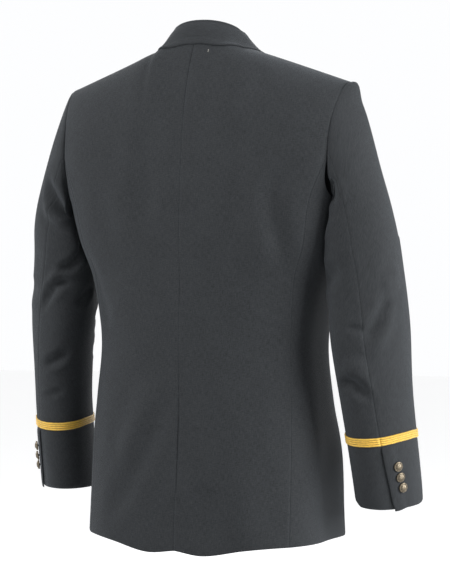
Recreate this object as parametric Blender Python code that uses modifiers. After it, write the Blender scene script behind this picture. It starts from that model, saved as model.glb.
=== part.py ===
"""A man's army dress uniform jacket, hanging hollow as it is worn.

Units are metres, +Z is up, the wearer faces -Y and the wearer's left is +X. The origin is the middle
of the neck opening, level with the side neck points. Each pattern piece is a wall of cloth of its own:
a surface laid out between its seams and given its thickness inwards. All shapes are worked out for
the left half and mirrored, apart from the lap of the fronts.
"""
import math

import bmesh
import bpy
from mathutils import Matrix, Vector

# Cloth and seams
CLOTH = 0.0016
LAPEL_CLOTH = 0.0014
SEAM_GAP = 0.0004
REST_GAP = 0.0004
SHOULDER_GAP = 0.0004

# Neck and shoulders
NECK_HALF = 0.072
NECK_BACK = 0.072
NECK_SIDE = 0.030
NAPE_RISE = 0.014
SHOULDER_HALF = 0.240
SHOULDER_BACK = 0.016
SHOULDER_DROP = 0.057
SHOULDER_CURVE = 1.04

# Heights along the body, on the pattern: 0 is the shoulder seam, below the armhole they are true heights
ARM_LEVEL = -0.240
ARMHOLE_LOW = -0.236
SIDE_ROWS_FROM = -0.262
HEM = -0.765
BREAK_LEVEL = -0.300
GORGE_LEVEL = -0.050

# Front edge, lapel and buttons
LAP = 0.020
LAP_STEP = 0.0033
GORGE_HALF = 0.064
LAPEL_WIDTH = 0.092
GORGE_SLOPE = math.radians(-39)
NOTCH_SHARE = 0.56
CORNER_RADIUS = 0.045
FRONT_BUTTONS = 4
FRONT_BUTTON_STEP = 0.102
FRONT_BUTTON_TOP = BREAK_LEVEL - 0.016
FRONT_BUTTON_RADIUS = 0.0115

# Roundness of the front's level sections: 2 is an ellipse, more is squarer
FRONT_ROUND = 3.0

# Cuffs
BRAID_WIDTH = 0.0127
BRAID_THICK = 0.0012
BRAID_BOTTOM = 0.086
BRAID_ROWS = 7
BRAID_VALLEY = 0.7
CUFF_BUTTON_RADIUS = 0.0075
CUFF_BUTTON_STEP = 0.0165
CUFF_BUTTON_LOW = 0.034
CUFF_BUTTON_IN = 0.019
CUFF_BUTTONS = 3
VENT_LENGTH = 0.080
VENT_LAP_TURN = 9.0
VENT_LIFT = 0.0024
VENT_TIP = 0.006


class Table:
    """Rows of named values; between the rows a value follows a smooth curve."""

    def __init__(self, columns, *rows):
        self.columns = columns.split()
        self.rows = sorted(rows)

    def at(self, name, key):
        column = self.columns.index(name)
        keys = [row[0] for row in self.rows]
        values = [row[column] for row in self.rows]
        last = len(keys) - 1
        if key <= keys[0]:
            return values[0]
        if key >= keys[last]:
            return values[last]
        row = max(i for i in range(last) if keys[i] <= key)
        span = keys[row + 1] - keys[row]
        share = (key - keys[row]) / span

        def slope(i):
            low, high = max(i - 1, 0), min(i + 1, last)
            return (values[high] - values[low]) / (keys[high] - keys[low])

        square, cube = share ** 2, share ** 3
        return ((2 * cube - 3 * square + 1) * values[row]
                + (cube - 2 * square + share) * span * slope(row)
                + (3 * square - 2 * cube) * values[row + 1]
                + (cube - square) * span * slope(row + 1))


# The body's level sections; the back's roundness is its own, from 2 for an ellipse to squarer
BODY = Table(
    "level   half_width back_depth back_round front_depth",
    (0.000, 0.250, 0.116, 4.0, 0.130),
    (-0.080, 0.246, 0.116, 4.0, 0.130),
    (-0.160, 0.240, 0.116, 3.8, 0.130),
    (-0.240, 0.226, 0.118, 3.3, 0.130),
    (-0.300, 0.212, 0.117, 3.0, 0.130),
    (-0.355, 0.192, 0.115, 2.6, 0.130),
    (-0.450, 0.179, 0.113, 2.4, 0.133),
    (-0.540, 0.185, 0.114, 2.4, 0.150),
    (-0.600, 0.190, 0.116, 2.4, 0.168),
    (-0.770, 0.194, 0.122, 2.5, 0.200),
)

# How full the upper back stays before it rounds over to the neck and the shoulder seam
YOKE = Table(
    "out    fullness",
    (0.000, 1.0),
    (0.040, 1.4),
    (0.075, 2.8),
    (0.120, 2.3),
    (0.170, 2.0),
    (0.250, 2.0),
)

# Seams of the side body, as turns round the body from the centre back (0) to the centre front (180)
SIDE_SEAMS = Table(
    "level   back_seam front_seam",
    (-0.150, 56.5, 112.0),
    (-0.230, 51.0, 108.0),
    (-0.320, 55.5, 106.0),
    (-0.450, 61.0, 106.0),
    (-0.600, 58.5, 107.0),
    (-0.770, 57.0, 108.0),
)

# The armhole: turn 0 is the shoulder tip, 90 the back, 180 the underarm and 270 the front
ARMHOLE = Table(
    "turn body_turn",
    (0, 67.2),
    (45, 58.5),
    (90, 57.0),
    (135, 66.4),
    (180, 90.0),
    (225, 110.0),
    (270, 129.0),
    (315, 124.0),
    (360, 109.8),
)
BACK_SEAM_TURN = 100.0
FRONT_SEAM_TURN = 236.0

# How far the hem lies below its level at the centre back
HEM_DROP = Table(
    "body_turn drop",
    (0, 0.000),
    (16, 0.005),
    (38, -0.006),
    (57, -0.011),
    (100, -0.012),
    (180, -0.004),
)

# The sleeve's rings, by the height of their middle; the fill pushes their front part forwards
ARM = Table(
    "height  out    back    long   short  turned fill",
    (-0.290, 0.2505, 0.014, 0.0600, 0.0550, 60, 0.030),
    (-0.330, 0.2560, 0.008, 0.0615, 0.0530, 61, 0.027),
    (-0.380, 0.2610, 0.004, 0.0645, 0.0520, 62, 0.016),
    (-0.440, 0.2660, 0.000, 0.0680, 0.0500, 65, 0.003),
    (-0.530, 0.2720, -0.014, 0.0620, 0.0460, 68, 0.000),
    (-0.600, 0.2760, -0.030, 0.0605, 0.0450, 70, 0.000),
    (-0.690, 0.2800, -0.054, 0.0595, 0.0440, 72, 0.000),
)
RING_TOP = -0.290
CUFF = -0.690

# The way the sleeve cap leaves the armhole
CAP_START = Table(
    "turn out   back   up",
    (0, 0.024, 0.000, 0.002),
    (90, 0.030, 0.020, -0.040),
    (180, 0.055, 0.000, -0.030),
    (270, 0.045, -0.020, -0.040),
    (360, 0.024, 0.000, 0.002),
)

# Sleeve seams, as turns round the arm from outwards (0) by the back (90); rows run down the sleeve
SLEEVE_SEAMS = Table(
    "along hind fore",
    (0.0, 106.0, 236.0),
    (1.0, 80.0, 238.0),
    (1.4, 70.0, 240.0),
    (1.8, 62.0, 240.0),
    (2.0, 52.0, 240.0),
)

# How far the braid climbs and the hem drops off square, by the turn round the arm
CUFF_SLANT = Table(
    "turn braid   hem",
    (0, 0.0102, 0.003),
    (30, 0.0142, 0.003),
    (60, 0.0158, 0.003),
    (90, 0.0171, 0.001),
    (130, 0.0176, -0.001),
    (170, 0.0165, 0.000),
    (200, 0.0110, 0.002),
    (240, 0.0050, 0.002),
    (290, 0.0015, 0.001),
    (330, 0.0034, 0.002),
    (360, 0.0102, 0.003),
)
CUFF_SLANT_FROM = 1.3
BODY_CLEARANCE = 0.0040
BODY_CLEARANCE_BLEND = 0.0050

# The collar's section at shares of its length from the centre back to the gorge
COLLAR = Table(
    "share stand  inward roll",
    (0.00, 0.0270, 0.0170, 0.0030),
    (0.35, 0.0280, 0.0180, 0.0030),
    (0.55, 0.0260, 0.0165, 0.0028),
    (0.80, 0.0130, 0.0060, 0.0020),
    (1.00, 0.0026, 0.0004, 0.0014),
)
NECK_POINT_SHARE = 0.55

# The collar's outer edge seen from above, as far as its front tip, then along its front edge
COLLAR_EDGE = Table(
    "share out    back",
    (0.00, 0.0000, 0.0782),
    (0.10, 0.0230, 0.0778),
    (0.20, 0.0440, 0.0748),
    (0.30, 0.0595, 0.0681),
    (0.38, 0.0690, 0.0570),
    (0.46, 0.0770, 0.0440),
    (0.55, 0.0855, 0.0230),
    (0.72, 0.1080, -0.0300),
    (0.84, 0.1255, -0.0600),
)
COLLAR_TIP_SHARE = 0.84

# The lapel's width at shares of the roll line from the break to the gorge
LAPEL = Table(
    "share width",
    (0.00, 0.010),
    (0.15, 0.032),
    (0.40, 0.058),
    (0.70, 0.078),
    (1.00, LAPEL_WIDTH),
)

# Folds of the sleeves: where each runs, how deep it is (a ridge is negative), and its half-width
SLEEVE_FOLDS = (
    # turn and way down at both ends, depth, half-width
    (150, 0.25, 95, 1.02, 0.0050, 0.016),
    (40, 1.30, 110, 1.22, 0.0030, 0.016),
    (55, 1.47, 150, 1.34, 0.0035, 0.015),
    (190, 1.50, 250, 1.38, 0.0040, 0.018),
)


def mix(low, high, share):
    return low + (high - low) * share


def step(value):
    """0 below 0, 1 above 1 and smooth between."""
    value = min(max(value, 0.0), 1.0)
    return value * value * (3 - 2 * value)


def steps(low, high, count):
    return [mix(low, high, i / count) for i in range(count + 1)]


def ridge(out, front):
    """The shoulder ridge over a distance from the middle: its place from front to back, and height."""
    inside = max(0.0, 1 - (abs(out) / NECK_HALF) ** 2)
    beyond = max(0.0, (abs(out) - NECK_HALF) / (SHOULDER_HALF - NECK_HALF))
    back = mix(NECK_SIDE, SHOULDER_BACK, min(beyond, 1.0))
    height = NAPE_RISE * inside - SHOULDER_DROP * beyond ** SHOULDER_CURVE
    if front:
        return back, min(height, 0.0)
    return back + (NECK_BACK - NECK_SIDE) * math.sqrt(inside), height


def roundness_at(level, front):
    return FRONT_ROUND if front else BODY.at("back_round", level)


def body_at(share, level, front):
    """A point of the body, at a share of its half-width, on the back or the front."""
    roundness = roundness_at(level, front)
    depth_name = "front_depth" if front else "back_depth"
    bulge = max(0.0, 1 - abs(share) ** roundness) ** (1 / roundness)
    side = -1 if front else 1
    out = BODY.at("half_width", level) * share
    depth = side * BODY.at(depth_name, level) * bulge
    if level <= ARM_LEVEL:
        return Vector((out, depth, level))
    rise = min(1 - level / ARM_LEVEL, 1.0)
    ridge_back, ridge_height = ridge(out, front)
    if front:
        fullness = (1 - rise ** 1.7) ** (1 / 1.9)
    else:
        fullness = (1 - rise ** 2.6) ** (1 / YOKE.at("fullness", abs(out)))
    return Vector((out, mix(ridge_back, depth, fullness), mix(ARM_LEVEL, ridge_height, rise)))


def share_of(turn, level, front):
    return math.sin(math.radians(turn)) ** (2 / roundness_at(level, front))


def body(turn, level):
    """A point of the body by its turn round it: 0 is the centre back, 90 the side, 180 the front."""
    front = turn > 90
    return body_at(share_of(turn, level, front), level, front)


def normal_of(surface, first, second, reach=0.0008):
    """The outward direction of a surface given by two values."""
    along = surface(first + reach, second) - surface(first - reach, second)
    across = surface(first, second + reach) - surface(first, second - reach)
    return along.cross(across).normalized()


def front_at(out, level, lift=0.0, side=0):
    """A point of a front, lifted off it; side is 1 for the front that laps over and -1 for the other."""
    def plain(across, height):
        return body_at(across / BODY.at("half_width", height), height, True)

    outward = normal_of(plain, out, level)
    lapped = LAP_STEP * step((0.060 - out) / 0.036) * step((GORGE_LEVEL - level) / 0.08)
    return plain(out, level) + outward * (lift + side * lapped)


def armhole_level(turn):
    return ARMHOLE_LOW * (1 - math.cos(math.radians(turn))) / 2


def armhole_share(turn):
    """The armhole's share of the half-width; it meets the shoulder tip at turn 0 and 360."""
    front = turn > 180
    level = armhole_level(turn)
    share = share_of(ARMHOLE.at("body_turn", turn), level, front)
    tip = SHOULDER_HALF / BODY.at("half_width", 0)
    table_tip = share_of(ARMHOLE.at("body_turn", 360 if front else 0), 0, front)
    near_tip = step(1 + level / 0.06)
    return share + (tip - table_tip) * near_tip


def armhole(turn):
    return body_at(armhole_share(turn), armhole_level(turn), turn > 180)


def spread(path, shares):
    """Points of a path (given from 0 to 1) at shares of its length."""
    fine = [path(i / 40) for i in range(41)]
    lengths = [0.0]
    for before, after in zip(fine, fine[1:]):
        lengths.append(lengths[-1] + (after - before).length)
    points = []
    for share in shares:
        wanted = share * lengths[-1]
        i = max(k for k in range(40) if lengths[k] <= wanted + 1e-9)
        inside = (wanted - lengths[i]) / (lengths[i + 1] - lengths[i])
        points.append(path((i + inside) / 40))
    return points


def drawn_in(points, first, last):
    """The points with both ends moved in along the path by the given lengths."""
    points = list(points)
    points[0] = points[0] + (points[1] - points[0]).normalized() * first
    points[-1] = points[-1] + (points[-2] - points[-1]).normalized() * last
    return points


# The turns of the armhole's seam points, shared by the body and the sleeve
BACK_TURNS = steps(BACK_SEAM_TURN, 16, 7) + [8, 3, 0]
SIDE_TURNS = [BACK_SEAM_TURN] + steps(BACK_SEAM_TURN + 4, FRONT_SEAM_TURN - 4, 6) + [FRONT_SEAM_TURN]
FRONT_TURNS = [FRONT_SEAM_TURN] + steps(FRONT_SEAM_TURN + 4, 344, 8) + [352, 357, 360]
LOW_LEVELS = steps(HEM, SIDE_ROWS_FROM, 11)
SIDE_TOP_ROWS = 3


def hem_drop(turn, level):
    """The hem's own drop, faded out over the lowest part of the skirt."""
    return -HEM_DROP.at("drop", turn) * step((ARM_LEVEL - 0.2 - level) / (ARM_LEVEL - 0.2 - HEM))


def back_rows():
    """Rows of the left back from the hem up, each from the centre back to the side seam or armhole."""
    shares = [0.0] + steps(0.03, 0.40, 4) + steps(0.40, 0.975, 6)[1:] + [1.0]
    edges = [(level, side_share("back_seam", level)) for level in seam_levels(BACK_SEAM_TURN)]
    edges += [(armhole_level(turn), armhole_share(turn)) for turn in BACK_TURNS[1:]]
    rows = []
    for level, edge in edges:
        def path(share):
            around = side_seam("back_seam", level) * share
            return body_at(edge * share, level + hem_drop(around, level), False)

        rows.append(drawn_in(spread(path, shares), SEAM_GAP / 2, SEAM_GAP / 2))
    return eased_top(rows, SHOULDER_GAP)


def eased_top(rows, length):
    """The rows with the last one moved back down its columns by a length."""
    last = [high.lerp(low, length / (high - low).length) for high, low in zip(rows[-1], rows[-2])]
    return rows[:-1] + [last]


def seam_levels(armhole_turn):
    """The levels of a panel's rows up to where its side seam meets the armhole."""
    return LOW_LEVELS + steps(SIDE_ROWS_FROM, armhole_level(armhole_turn), SIDE_TOP_ROWS)[1:]


def side_share(name, level):
    return share_of(side_seam(name, level), level, name == "front_seam")


def side_seam(name, level):
    """A side body seam's turn, which meets the armhole where that seam joins it."""
    joint = BACK_SEAM_TURN if name == "back_seam" else FRONT_SEAM_TURN
    joint_level = armhole_level(joint)
    pull = step((level + 0.40) / (joint_level + 0.40))
    return SIDE_SEAMS.at(name, level) + pull * (
        ARMHOLE.at("body_turn", joint) - SIDE_SEAMS.at(name, joint_level))


def side_rows():
    """Rows of the left side body, each from its back seam to its front seam."""
    ends = [ARMHOLE.at("body_turn", turn) for turn in SIDE_TURNS]
    shares = [(end - ends[0]) / (ends[-1] - ends[0]) for end in ends]
    rows = []
    for row in range(len(LOW_LEVELS) + SIDE_TOP_ROWS):
        points = []
        for turn, share in zip(SIDE_TURNS, shares):
            if row < len(LOW_LEVELS):
                level = LOW_LEVELS[row]
            else:
                rise = (row - len(LOW_LEVELS) + 1) / SIDE_TOP_ROWS
                level = mix(SIDE_ROWS_FROM, armhole_level(turn), rise)
            body_turn = mix(side_seam("back_seam", level), side_seam("front_seam", level), share)
            points.append(body(body_turn, level + hem_drop(body_turn, level)))
        rows.append(drawn_in(points, SEAM_GAP / 2, SEAM_GAP / 2))
    return eased_top(rows, SEAM_GAP / 2)


def front_edge(level):
    """How far out the front's free edge, roll line or neck edge lies."""
    if level <= BREAK_LEVEL:
        return -LAP
    if level <= GORGE_LEVEL:
        return mix(-LAP, GORGE_HALF, (level - BREAK_LEVEL) / (GORGE_LEVEL - BREAK_LEVEL))
    return mix(GORGE_HALF, NECK_HALF, (level - GORGE_LEVEL) / -GORGE_LEVEL)


def front_rows(side):
    """Rows of a front from the hem up, each from the side seam or armhole to its free edge."""
    shares = [0.0] + steps(0.015, 0.88, 8) + [0.94, 0.98, 1.0]
    edges = [(level, side_share("front_seam", level)) for level in seam_levels(FRONT_SEAM_TURN)]
    edges += [(armhole_level(turn), armhole_share(turn)) for turn in FRONT_TURNS[1:]]
    rows = []
    for level, edge in edges:
        inner = front_edge(level)

        def path(share):
            from_edge = (1 - share) * (BODY.at("half_width", level) * edge - inner)
            corner = CORNER_RADIUS - math.sqrt(
                CORNER_RADIUS ** 2 - max(0.0, CORNER_RADIUS - from_edge) ** 2)
            raised = corner * step((HEM + 0.16 - level) / 0.16)
            around = mix(side_seam("front_seam", level), 180, share)
            height = level + hem_drop(around, level) + raised
            return front_at(mix(BODY.at("half_width", height) * edge, inner, share), height, 0.0, side)

        rows.append(drawn_in(spread(path, shares), SEAM_GAP / 2, SEAM_GAP / 2))
    return eased_top(rows, SHOULDER_GAP)


def arm_middle(height):
    return Vector((ARM.at("out", height), ARM.at("back", height), height))


def arm_ring(turn, height):
    """A point of the lower sleeve, on a ring square to the arm."""
    middle = arm_middle(height)
    lean = (arm_middle(height + 0.01) - arm_middle(height - 0.01)) / 0.02
    turned = math.radians(ARM.at("turned", height))
    angle = math.radians(turn) + turned
    long_part = ARM.at("long", height) * math.cos(angle)
    short_part = ARM.at("short", height) * math.sin(angle)
    out = long_part * math.cos(turned) + short_part * math.sin(turned)
    back = -long_part * math.sin(turned) + short_part * math.cos(turned)
    back -= ARM.at("fill", height) * max(0.0, -math.sin(math.radians(turn))) ** 4
    return middle + Vector((out, back, -lean.x * out - lean.y * back))


def clear_of_body(point):
    """The point moved out, where it has to be, until the sleeve clears the body under the arm."""
    front = point.y < 0
    roundness = roundness_at(point.z, front)
    depth = BODY.at("front_depth" if front else "back_depth", point.z)
    inside = max(0.0, 1 - (abs(point.y) / depth) ** roundness) ** (1 / roundness)
    near = BODY.at("half_width", point.z) * inside + BODY_CLEARANCE
    excess = (point.x - near) / BODY_CLEARANCE_BLEND
    if excess > 20:
        return point
    kept = near + BODY_CLEARANCE_BLEND * math.log1p(math.exp(excess))
    weight = step((ARMHOLE_LOW + 0.035 - point.z) / 0.05)
    return Vector((mix(point.x, kept, weight), point.y, point.z))


def sleeve_height(along):
    return mix(RING_TOP, CUFF, along - 1)


def sleeve_base(turn, along):
    """A point of the sleeve before its folds: along is 0 at the armhole, 1 at the biceps, 2 at the hem."""
    turn %= 360
    if along >= 1:
        return clear_of_body(arm_ring(turn, sleeve_height(along)))
    start = armhole(turn)
    end = arm_ring(turn, RING_TOP)
    fall = start.z - end.z
    leave = Vector([CAP_START.at(name, turn) for name in ("out", "back", "up")])
    arrive = (arm_ring(turn, RING_TOP - 0.01) - arm_ring(turn, RING_TOP + 0.01)) / 0.02 * fall
    square, cube = along ** 2, along ** 3
    point = ((2 * cube - 3 * square + 1) * start
             + (cube - 2 * square + along) * leave
             + (3 * square - 2 * cube) * end
             + (cube - square) * arrive)
    eased = clear_of_body(point)
    return point.lerp(eased, step(along * 2))


def fold_depth(turn, along):
    """How deep the folds press the sleeve in at a place."""
    depth = 0.0
    for turn_a, along_a, turn_b, along_b, deep, wide in SLEEVE_FOLDS:
        # the run and the place in metres on the flat sleeve
        run = Vector(((turn_b - turn_a) * 0.0010, (along_b - along_a) * 0.38))
        place = Vector((((turn - turn_a + 180) % 360 - 180) * 0.0010, (along - along_a) * 0.38))
        share = place.dot(run) / run.length_squared
        off = (place - run * min(max(share, 0), 1)).length
        ends = step(min(share, 1 - share) * 3 + 0.5)
        depth += deep * ends * math.exp(-(off / wide) ** 2)
    return depth


def sleeve(turn, along, lift=0.0):
    """A point of the sleeve's outer face, lifted off it."""
    inward = normal_of(lambda a, b: sleeve_base(a * 60, b * 2), turn / 60, along / 2, 0.004)
    return sleeve_base(turn, along) - inward * (lift - fold_depth(turn, along))


CUFF_LENGTH = RING_TOP - CUFF
BRAID_TOP_ALONG = 2 - (BRAID_BOTTOM + BRAID_WIDTH) / CUFF_LENGTH
BRAID_LOW_ALONG = 2 - BRAID_BOTTOM / CUFF_LENGTH
VENT_ALONG = 2 - VENT_LENGTH / CUFF_LENGTH
SLEEVE_ALONG = (steps(0, 1, 7) + steps(1, BRAID_TOP_ALONG, 8)[1:]
                + [BRAID_LOW_ALONG] + steps(VENT_ALONG, 2, 4))


def shares_of(turns):
    return [(turn - turns[0]) / (turns[-1] - turns[0]) for turn in turns]


# How far across each sleeve piece its columns lie, matched to the seam points of the armhole
HIND_TURN = SLEEVE_SEAMS.at("hind", 0)
TOP_SHARES = shares_of([turn - 360 for turn in FRONT_TURNS] + BACK_TURNS[::-1][1:] + [HIND_TURN])
UNDER_SHARES = shares_of([HIND_TURN, HIND_TURN + 4] + SIDE_TURNS[2:])


def sleeve_turn(along, share, under):
    """The turn at a share of the way across the top or the under sleeve."""
    hind = SLEEVE_SEAMS.at("hind", along)
    fore = SLEEVE_SEAMS.at("fore", along)
    if under:
        return mix(hind, fore, share)
    return mix(fore - 360, hind, share)


def cuff_along(turn, along):
    """Where a row of the sleeve lies at a turn: towards the cuff it slants with the braid and the hem."""
    begun = step((along - CUFF_SLANT_FROM) / (BRAID_TOP_ALONG - CUFF_SLANT_FROM))
    climb = CUFF_SLANT.at("braid", turn % 360) * begun
    below = max(0.0, (along - BRAID_LOW_ALONG) / (2 - BRAID_LOW_ALONG))
    return along - mix(climb, -CUFF_SLANT.at("hem", turn % 360), below) / CUFF_LENGTH


def seam_turn_offset(length, along):
    """The turn that a length across the sleeve spans, for the gap at its seams."""
    radius = 0.055 if along < 1 else (ARM.at("long", sleeve_height(along)) + 0.045) / 2
    return math.degrees(length / radius)


def sleeve_seam_gap(along):
    """Half the gap at the sleeve's seams as a turn; it opens a little where they curve into the armhole."""
    return seam_turn_offset(SEAM_GAP / 2, along) * mix(1, 2.2, step(1.4 - along / 0.7))


def vent_share(along):
    """0 above the vent and 1 in it."""
    return step((along - VENT_ALONG) / 0.04)


def vent_lift(along, near):
    """How far the top sleeve stands off over the vent's lap; near is the turn from its hind edge."""
    opened = step((along - VENT_ALONG) / 0.01 + 1)
    return VENT_LIFT * opened * (1 - step((near - VENT_LAP_TURN - 3) / 14))


def sleeve_rows(under):
    """Rows of the top or under sleeve from the armhole down, hind seam first on the under sleeve."""
    shares = UNDER_SHARES if under else TOP_SHARES
    rows = []
    for along in SLEEVE_ALONG:
        gap = sleeve_seam_gap(along)
        row = []
        for share in shares:
            turn = sleeve_turn(along, share, under)
            lift = 0.0
            lower = 0.0
            if under:
                low = turn - VENT_LAP_TURN * vent_share(along) if share == 0 else turn
                turn = low + (gap if share == 0 else 0) - (gap if share == 1 else 0)
            else:
                turn += (gap if share == 0 else 0) - (gap if share == 1 else 0)
                near = SLEEVE_SEAMS.at("hind", along) - turn
                lift = vent_lift(along, near)
                lower = VENT_TIP * step((along - 1.85) / 0.15) * (1 - step(near / 22))
            row.append(sleeve(turn, cuff_along(turn, along) + lower / CUFF_LENGTH, lift))
        rows.append(row)
    first = [mix(here, below, SEAM_GAP * 2.5 / (below - here).length)
             for here, below in zip(rows[0], rows[1])]
    return [first] + rows[1:]


def braid_rows(under):
    """Rows of the cuff braid, top edge first, on the same turns as the sleeve under it."""
    shares = UNDER_SHARES if under else TOP_SHARES
    rows = []
    for row in range(BRAID_ROWS):
        down = row / (BRAID_ROWS - 1)
        along = mix(BRAID_TOP_ALONG, BRAID_LOW_ALONG, down)
        gap = seam_turn_offset(SEAM_GAP, along)
        points = []
        for share in shares:
            turn = sleeve_turn(along, share, under)
            turn += (gap if share == 0 else 0) - (gap if share == 1 else 0)
            above = sleeve(turn, cuff_along(turn, BRAID_TOP_ALONG))
            below = sleeve(turn, cuff_along(turn, BRAID_LOW_ALONG))
            there = cuff_along(turn, along)
            outward = (sleeve(turn, there, 0.01) - sleeve(turn, there)).normalized()
            points.append(above.lerp(below, down) + outward * REST_GAP)
        rows.append(points)
    return rows


def lapel_rows(side):
    """Rows of a lapel from near the break up to the gorge, each from the roll line outwards."""
    # distances out from the roll line and off the front, for the rolled part of a row
    roll = ((-0.0015, -0.0010), (-0.0024, 0.0006), (-0.0016, 0.0024), (0.0008, 0.0036))
    roll_angle = math.atan2(GORGE_LEVEL - BREAK_LEVEL, GORGE_HALF + LAP)
    rows = []
    for share in steps(0.03, 1, 9):
        level = mix(BREAK_LEVEL, GORGE_LEVEL, share) - (SEAM_GAP if share == 1 else 0)
        start = front_edge(level)
        way = mix(roll_angle - math.pi / 2, GORGE_SLOPE, step(share * 1.4 - 0.4))
        width = LAPEL.at("width", share)
        points = []
        for out, lift in roll:
            points.append(front_at(start + out, level, lift, side))
        for across in (0.10, 0.3, 0.55, 0.8, 1.0):
            reach = width * across
            lift = mix(0.0038, 0.0020, across)
            points.append(front_at(start + reach * math.cos(way), level + reach * math.sin(way),
                                   lift, side))
        rows.append(points)
    return rows


def over_shoulder(out, back, lift):
    """A point above the yoke given from above: out and back, lifted off the cloth."""
    front = back < ridge(out, True)[0]
    low, high = ARM_LEVEL, 0.0
    for _ in range(30):
        level = (low + high) / 2
        place = body_at(out / BODY.at("half_width", level), level, front).y
        if (place < back) == front:
            low = level
        else:
            high = level

    def surface(across, height):
        return body_at(across / BODY.at("half_width", height), height, front)

    outward = normal_of(surface, out, min(level, -0.002))
    if outward.z < 0:
        outward = -outward
    return surface(out, level) + outward * lift


def kept_off(point, least):
    """The point, moved out where it has to be, until it lies a distance off the body's cloth."""
    front = point.y < ridge(point.x, True)[0]
    ridge_height = ridge(point.x, front)[1]
    if point.z >= ridge_height:
        return point

    def surface(out, level):
        return body_at(out / BODY.at("half_width", level), level, front)

    level = ARM_LEVEL * (ridge_height - point.z) / (ridge_height - ARM_LEVEL)
    outward = normal_of(surface, point.x, min(level, -0.002)) * (1 if front else -1)
    height = (point - surface(point.x, level)).dot(outward)
    return point + outward * max(0.0, least - height)


def neck_seam(share):
    """The neck seam: across the back neck to the neck point, then down the front to the gorge."""
    if share <= NECK_POINT_SHARE:
        out = NECK_HALF * math.sin(share / NECK_POINT_SHARE * math.pi / 2)
        back, height = ridge(out, False)
        return Vector((out, back, height))
    down = (share - NECK_POINT_SHARE) / (1 - NECK_POINT_SHARE)
    level = GORGE_LEVEL * down
    return front_at(front_edge(level), level)


def collar_edge(share):
    """The collar's outer edge, then its front edge from the tip to the notch."""
    lift = 0.0028
    if share <= COLLAR_TIP_SHARE:
        return over_shoulder(COLLAR_EDGE.at("out", share), COLLAR_EDGE.at("back", share), lift)
    reach = LAPEL_WIDTH * NOTCH_SHARE
    notch = front_at(GORGE_HALF + reach * math.cos(GORGE_SLOPE),
                     GORGE_LEVEL + reach * math.sin(GORGE_SLOPE), lift + 0.0006)
    tip = collar_edge(COLLAR_TIP_SHARE)
    return tip.lerp(notch, (share - COLLAR_TIP_SHARE) / (1 - COLLAR_TIP_SHARE))


def collar_section(share):
    """One section of the collar, from the neck seam up over the fold and down to the outer edge."""
    seam = neck_seam(share)
    edge = collar_edge(share)
    run = neck_seam(min(share + 0.01, 1.0)) - neck_seam(max(share - 0.01, 0.0))
    outward = Vector((-run.y, run.x, 0)).normalized()
    if share == 0:
        outward = Vector((0, 1, 0))
    stand = COLLAR.at("stand", share)
    inward = COLLAR.at("inward", share)
    roll = COLLAR.at("roll", share)
    fold = seam + Vector((0, 0, stand)) - outward * inward
    base = seam + Vector((0, 0, 0.0014)) - outward * 0.0008
    points = [base, base.lerp(fold - outward * roll, 0.5), fold - outward * roll,
              fold + Vector((0, 0, roll)), fold + outward * roll]
    fall = (edge - points[-1]).length
    leave = (Vector((0, 0, -0.8)) + outward * 0.8) * fall
    arrive = (edge - seam).normalized() * fall * 0.6 + (edge - fold) * 0.4
    for part in (0.22, 0.45, 0.7, 1.0):
        square, cube = part ** 2, part ** 3
        point = ((2 * cube - 3 * square + 1) * points[4]
                 + (cube - 2 * square + part) * leave
                 + (3 * square - 2 * cube) * edge
                 + (cube - square) * arrive)
        points.append(kept_off(point, 0.0033))
    return points


def collar_rows():
    """Sections of the whole collar from its right front end round the neck to the left."""
    shares = steps(0, NECK_POINT_SHARE, 6) + steps(NECK_POINT_SHARE, COLLAR_TIP_SHARE, 5)[1:]
    shares += steps(COLLAR_TIP_SHARE, 1, 3)[1:]
    left = [collar_section(share) for share in shares]
    right = [[mirrored(point) for point in section] for section in left[1:]]
    return right[::-1] + left


def mirrored(point):
    return Vector((-point.x, point.y, point.z))


def new_material(name, colour, roughness, metallic=0.0):
    material = bpy.data.materials.new(name)
    material.use_nodes = True
    shader = material.node_tree.nodes["Principled BSDF"]
    shader.inputs["Base Color"].default_value = (*colour, 1.0)
    shader.inputs["Roughness"].default_value = roughness
    shader.inputs["Metallic"].default_value = metallic
    material.diffuse_color = (*colour, 1.0)
    return material


def add_object(name, mesh, material, collection):
    new = bpy.data.objects.new(name, mesh)
    collection.objects.link(new)
    mesh.materials.clear()
    mesh.materials.append(material)
    mesh.shade_smooth()
    mesh.set_sharp_from_angle(angle=math.radians(40))
    return new


def cloth_piece(name, rows, material, collection, thick=CLOTH, offset=-1.0, flip=False, shares=None):
    """A wall of cloth: a grid laid on rows of points, thickened by Solidify.

    The shares, one for each row, make its wall thinner than the full thickness there.
    """
    shape = bmesh.new()
    across = len(rows[0])
    bmesh.ops.create_grid(shape, x_segments=across - 1, y_segments=len(rows) - 1, size=1)
    shape.verts.ensure_lookup_table()
    for i, vert in enumerate(shape.verts):
        vert.co = rows[i // across][i % across]
    if flip:
        bmesh.ops.reverse_faces(shape, faces=shape.faces)
    mesh = bpy.data.meshes.new(name)
    shape.to_mesh(mesh)
    shape.free()
    piece = add_object(name, mesh, material, collection)
    wall = piece.modifiers.new("Wall", "SOLIDIFY")
    wall.thickness = thick
    wall.offset = offset
    if shares:
        group = piece.vertex_groups.new(name="ridges")
        for row, share in enumerate(shares):
            group.add(range(row * across, (row + 1) * across), share, "REPLACE")
        wall.vertex_group = group.name
    return piece


def both_sides(name, rows, flip, material, collection, **options):
    """The left piece and its mirror on the right."""
    cloth_piece(name + "_left", rows, material, collection, flip=flip, **options)
    other = [[mirrored(point) for point in row] for row in rows]
    cloth_piece(name + "_right", other, material, collection, flip=not flip, **options)


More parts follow.
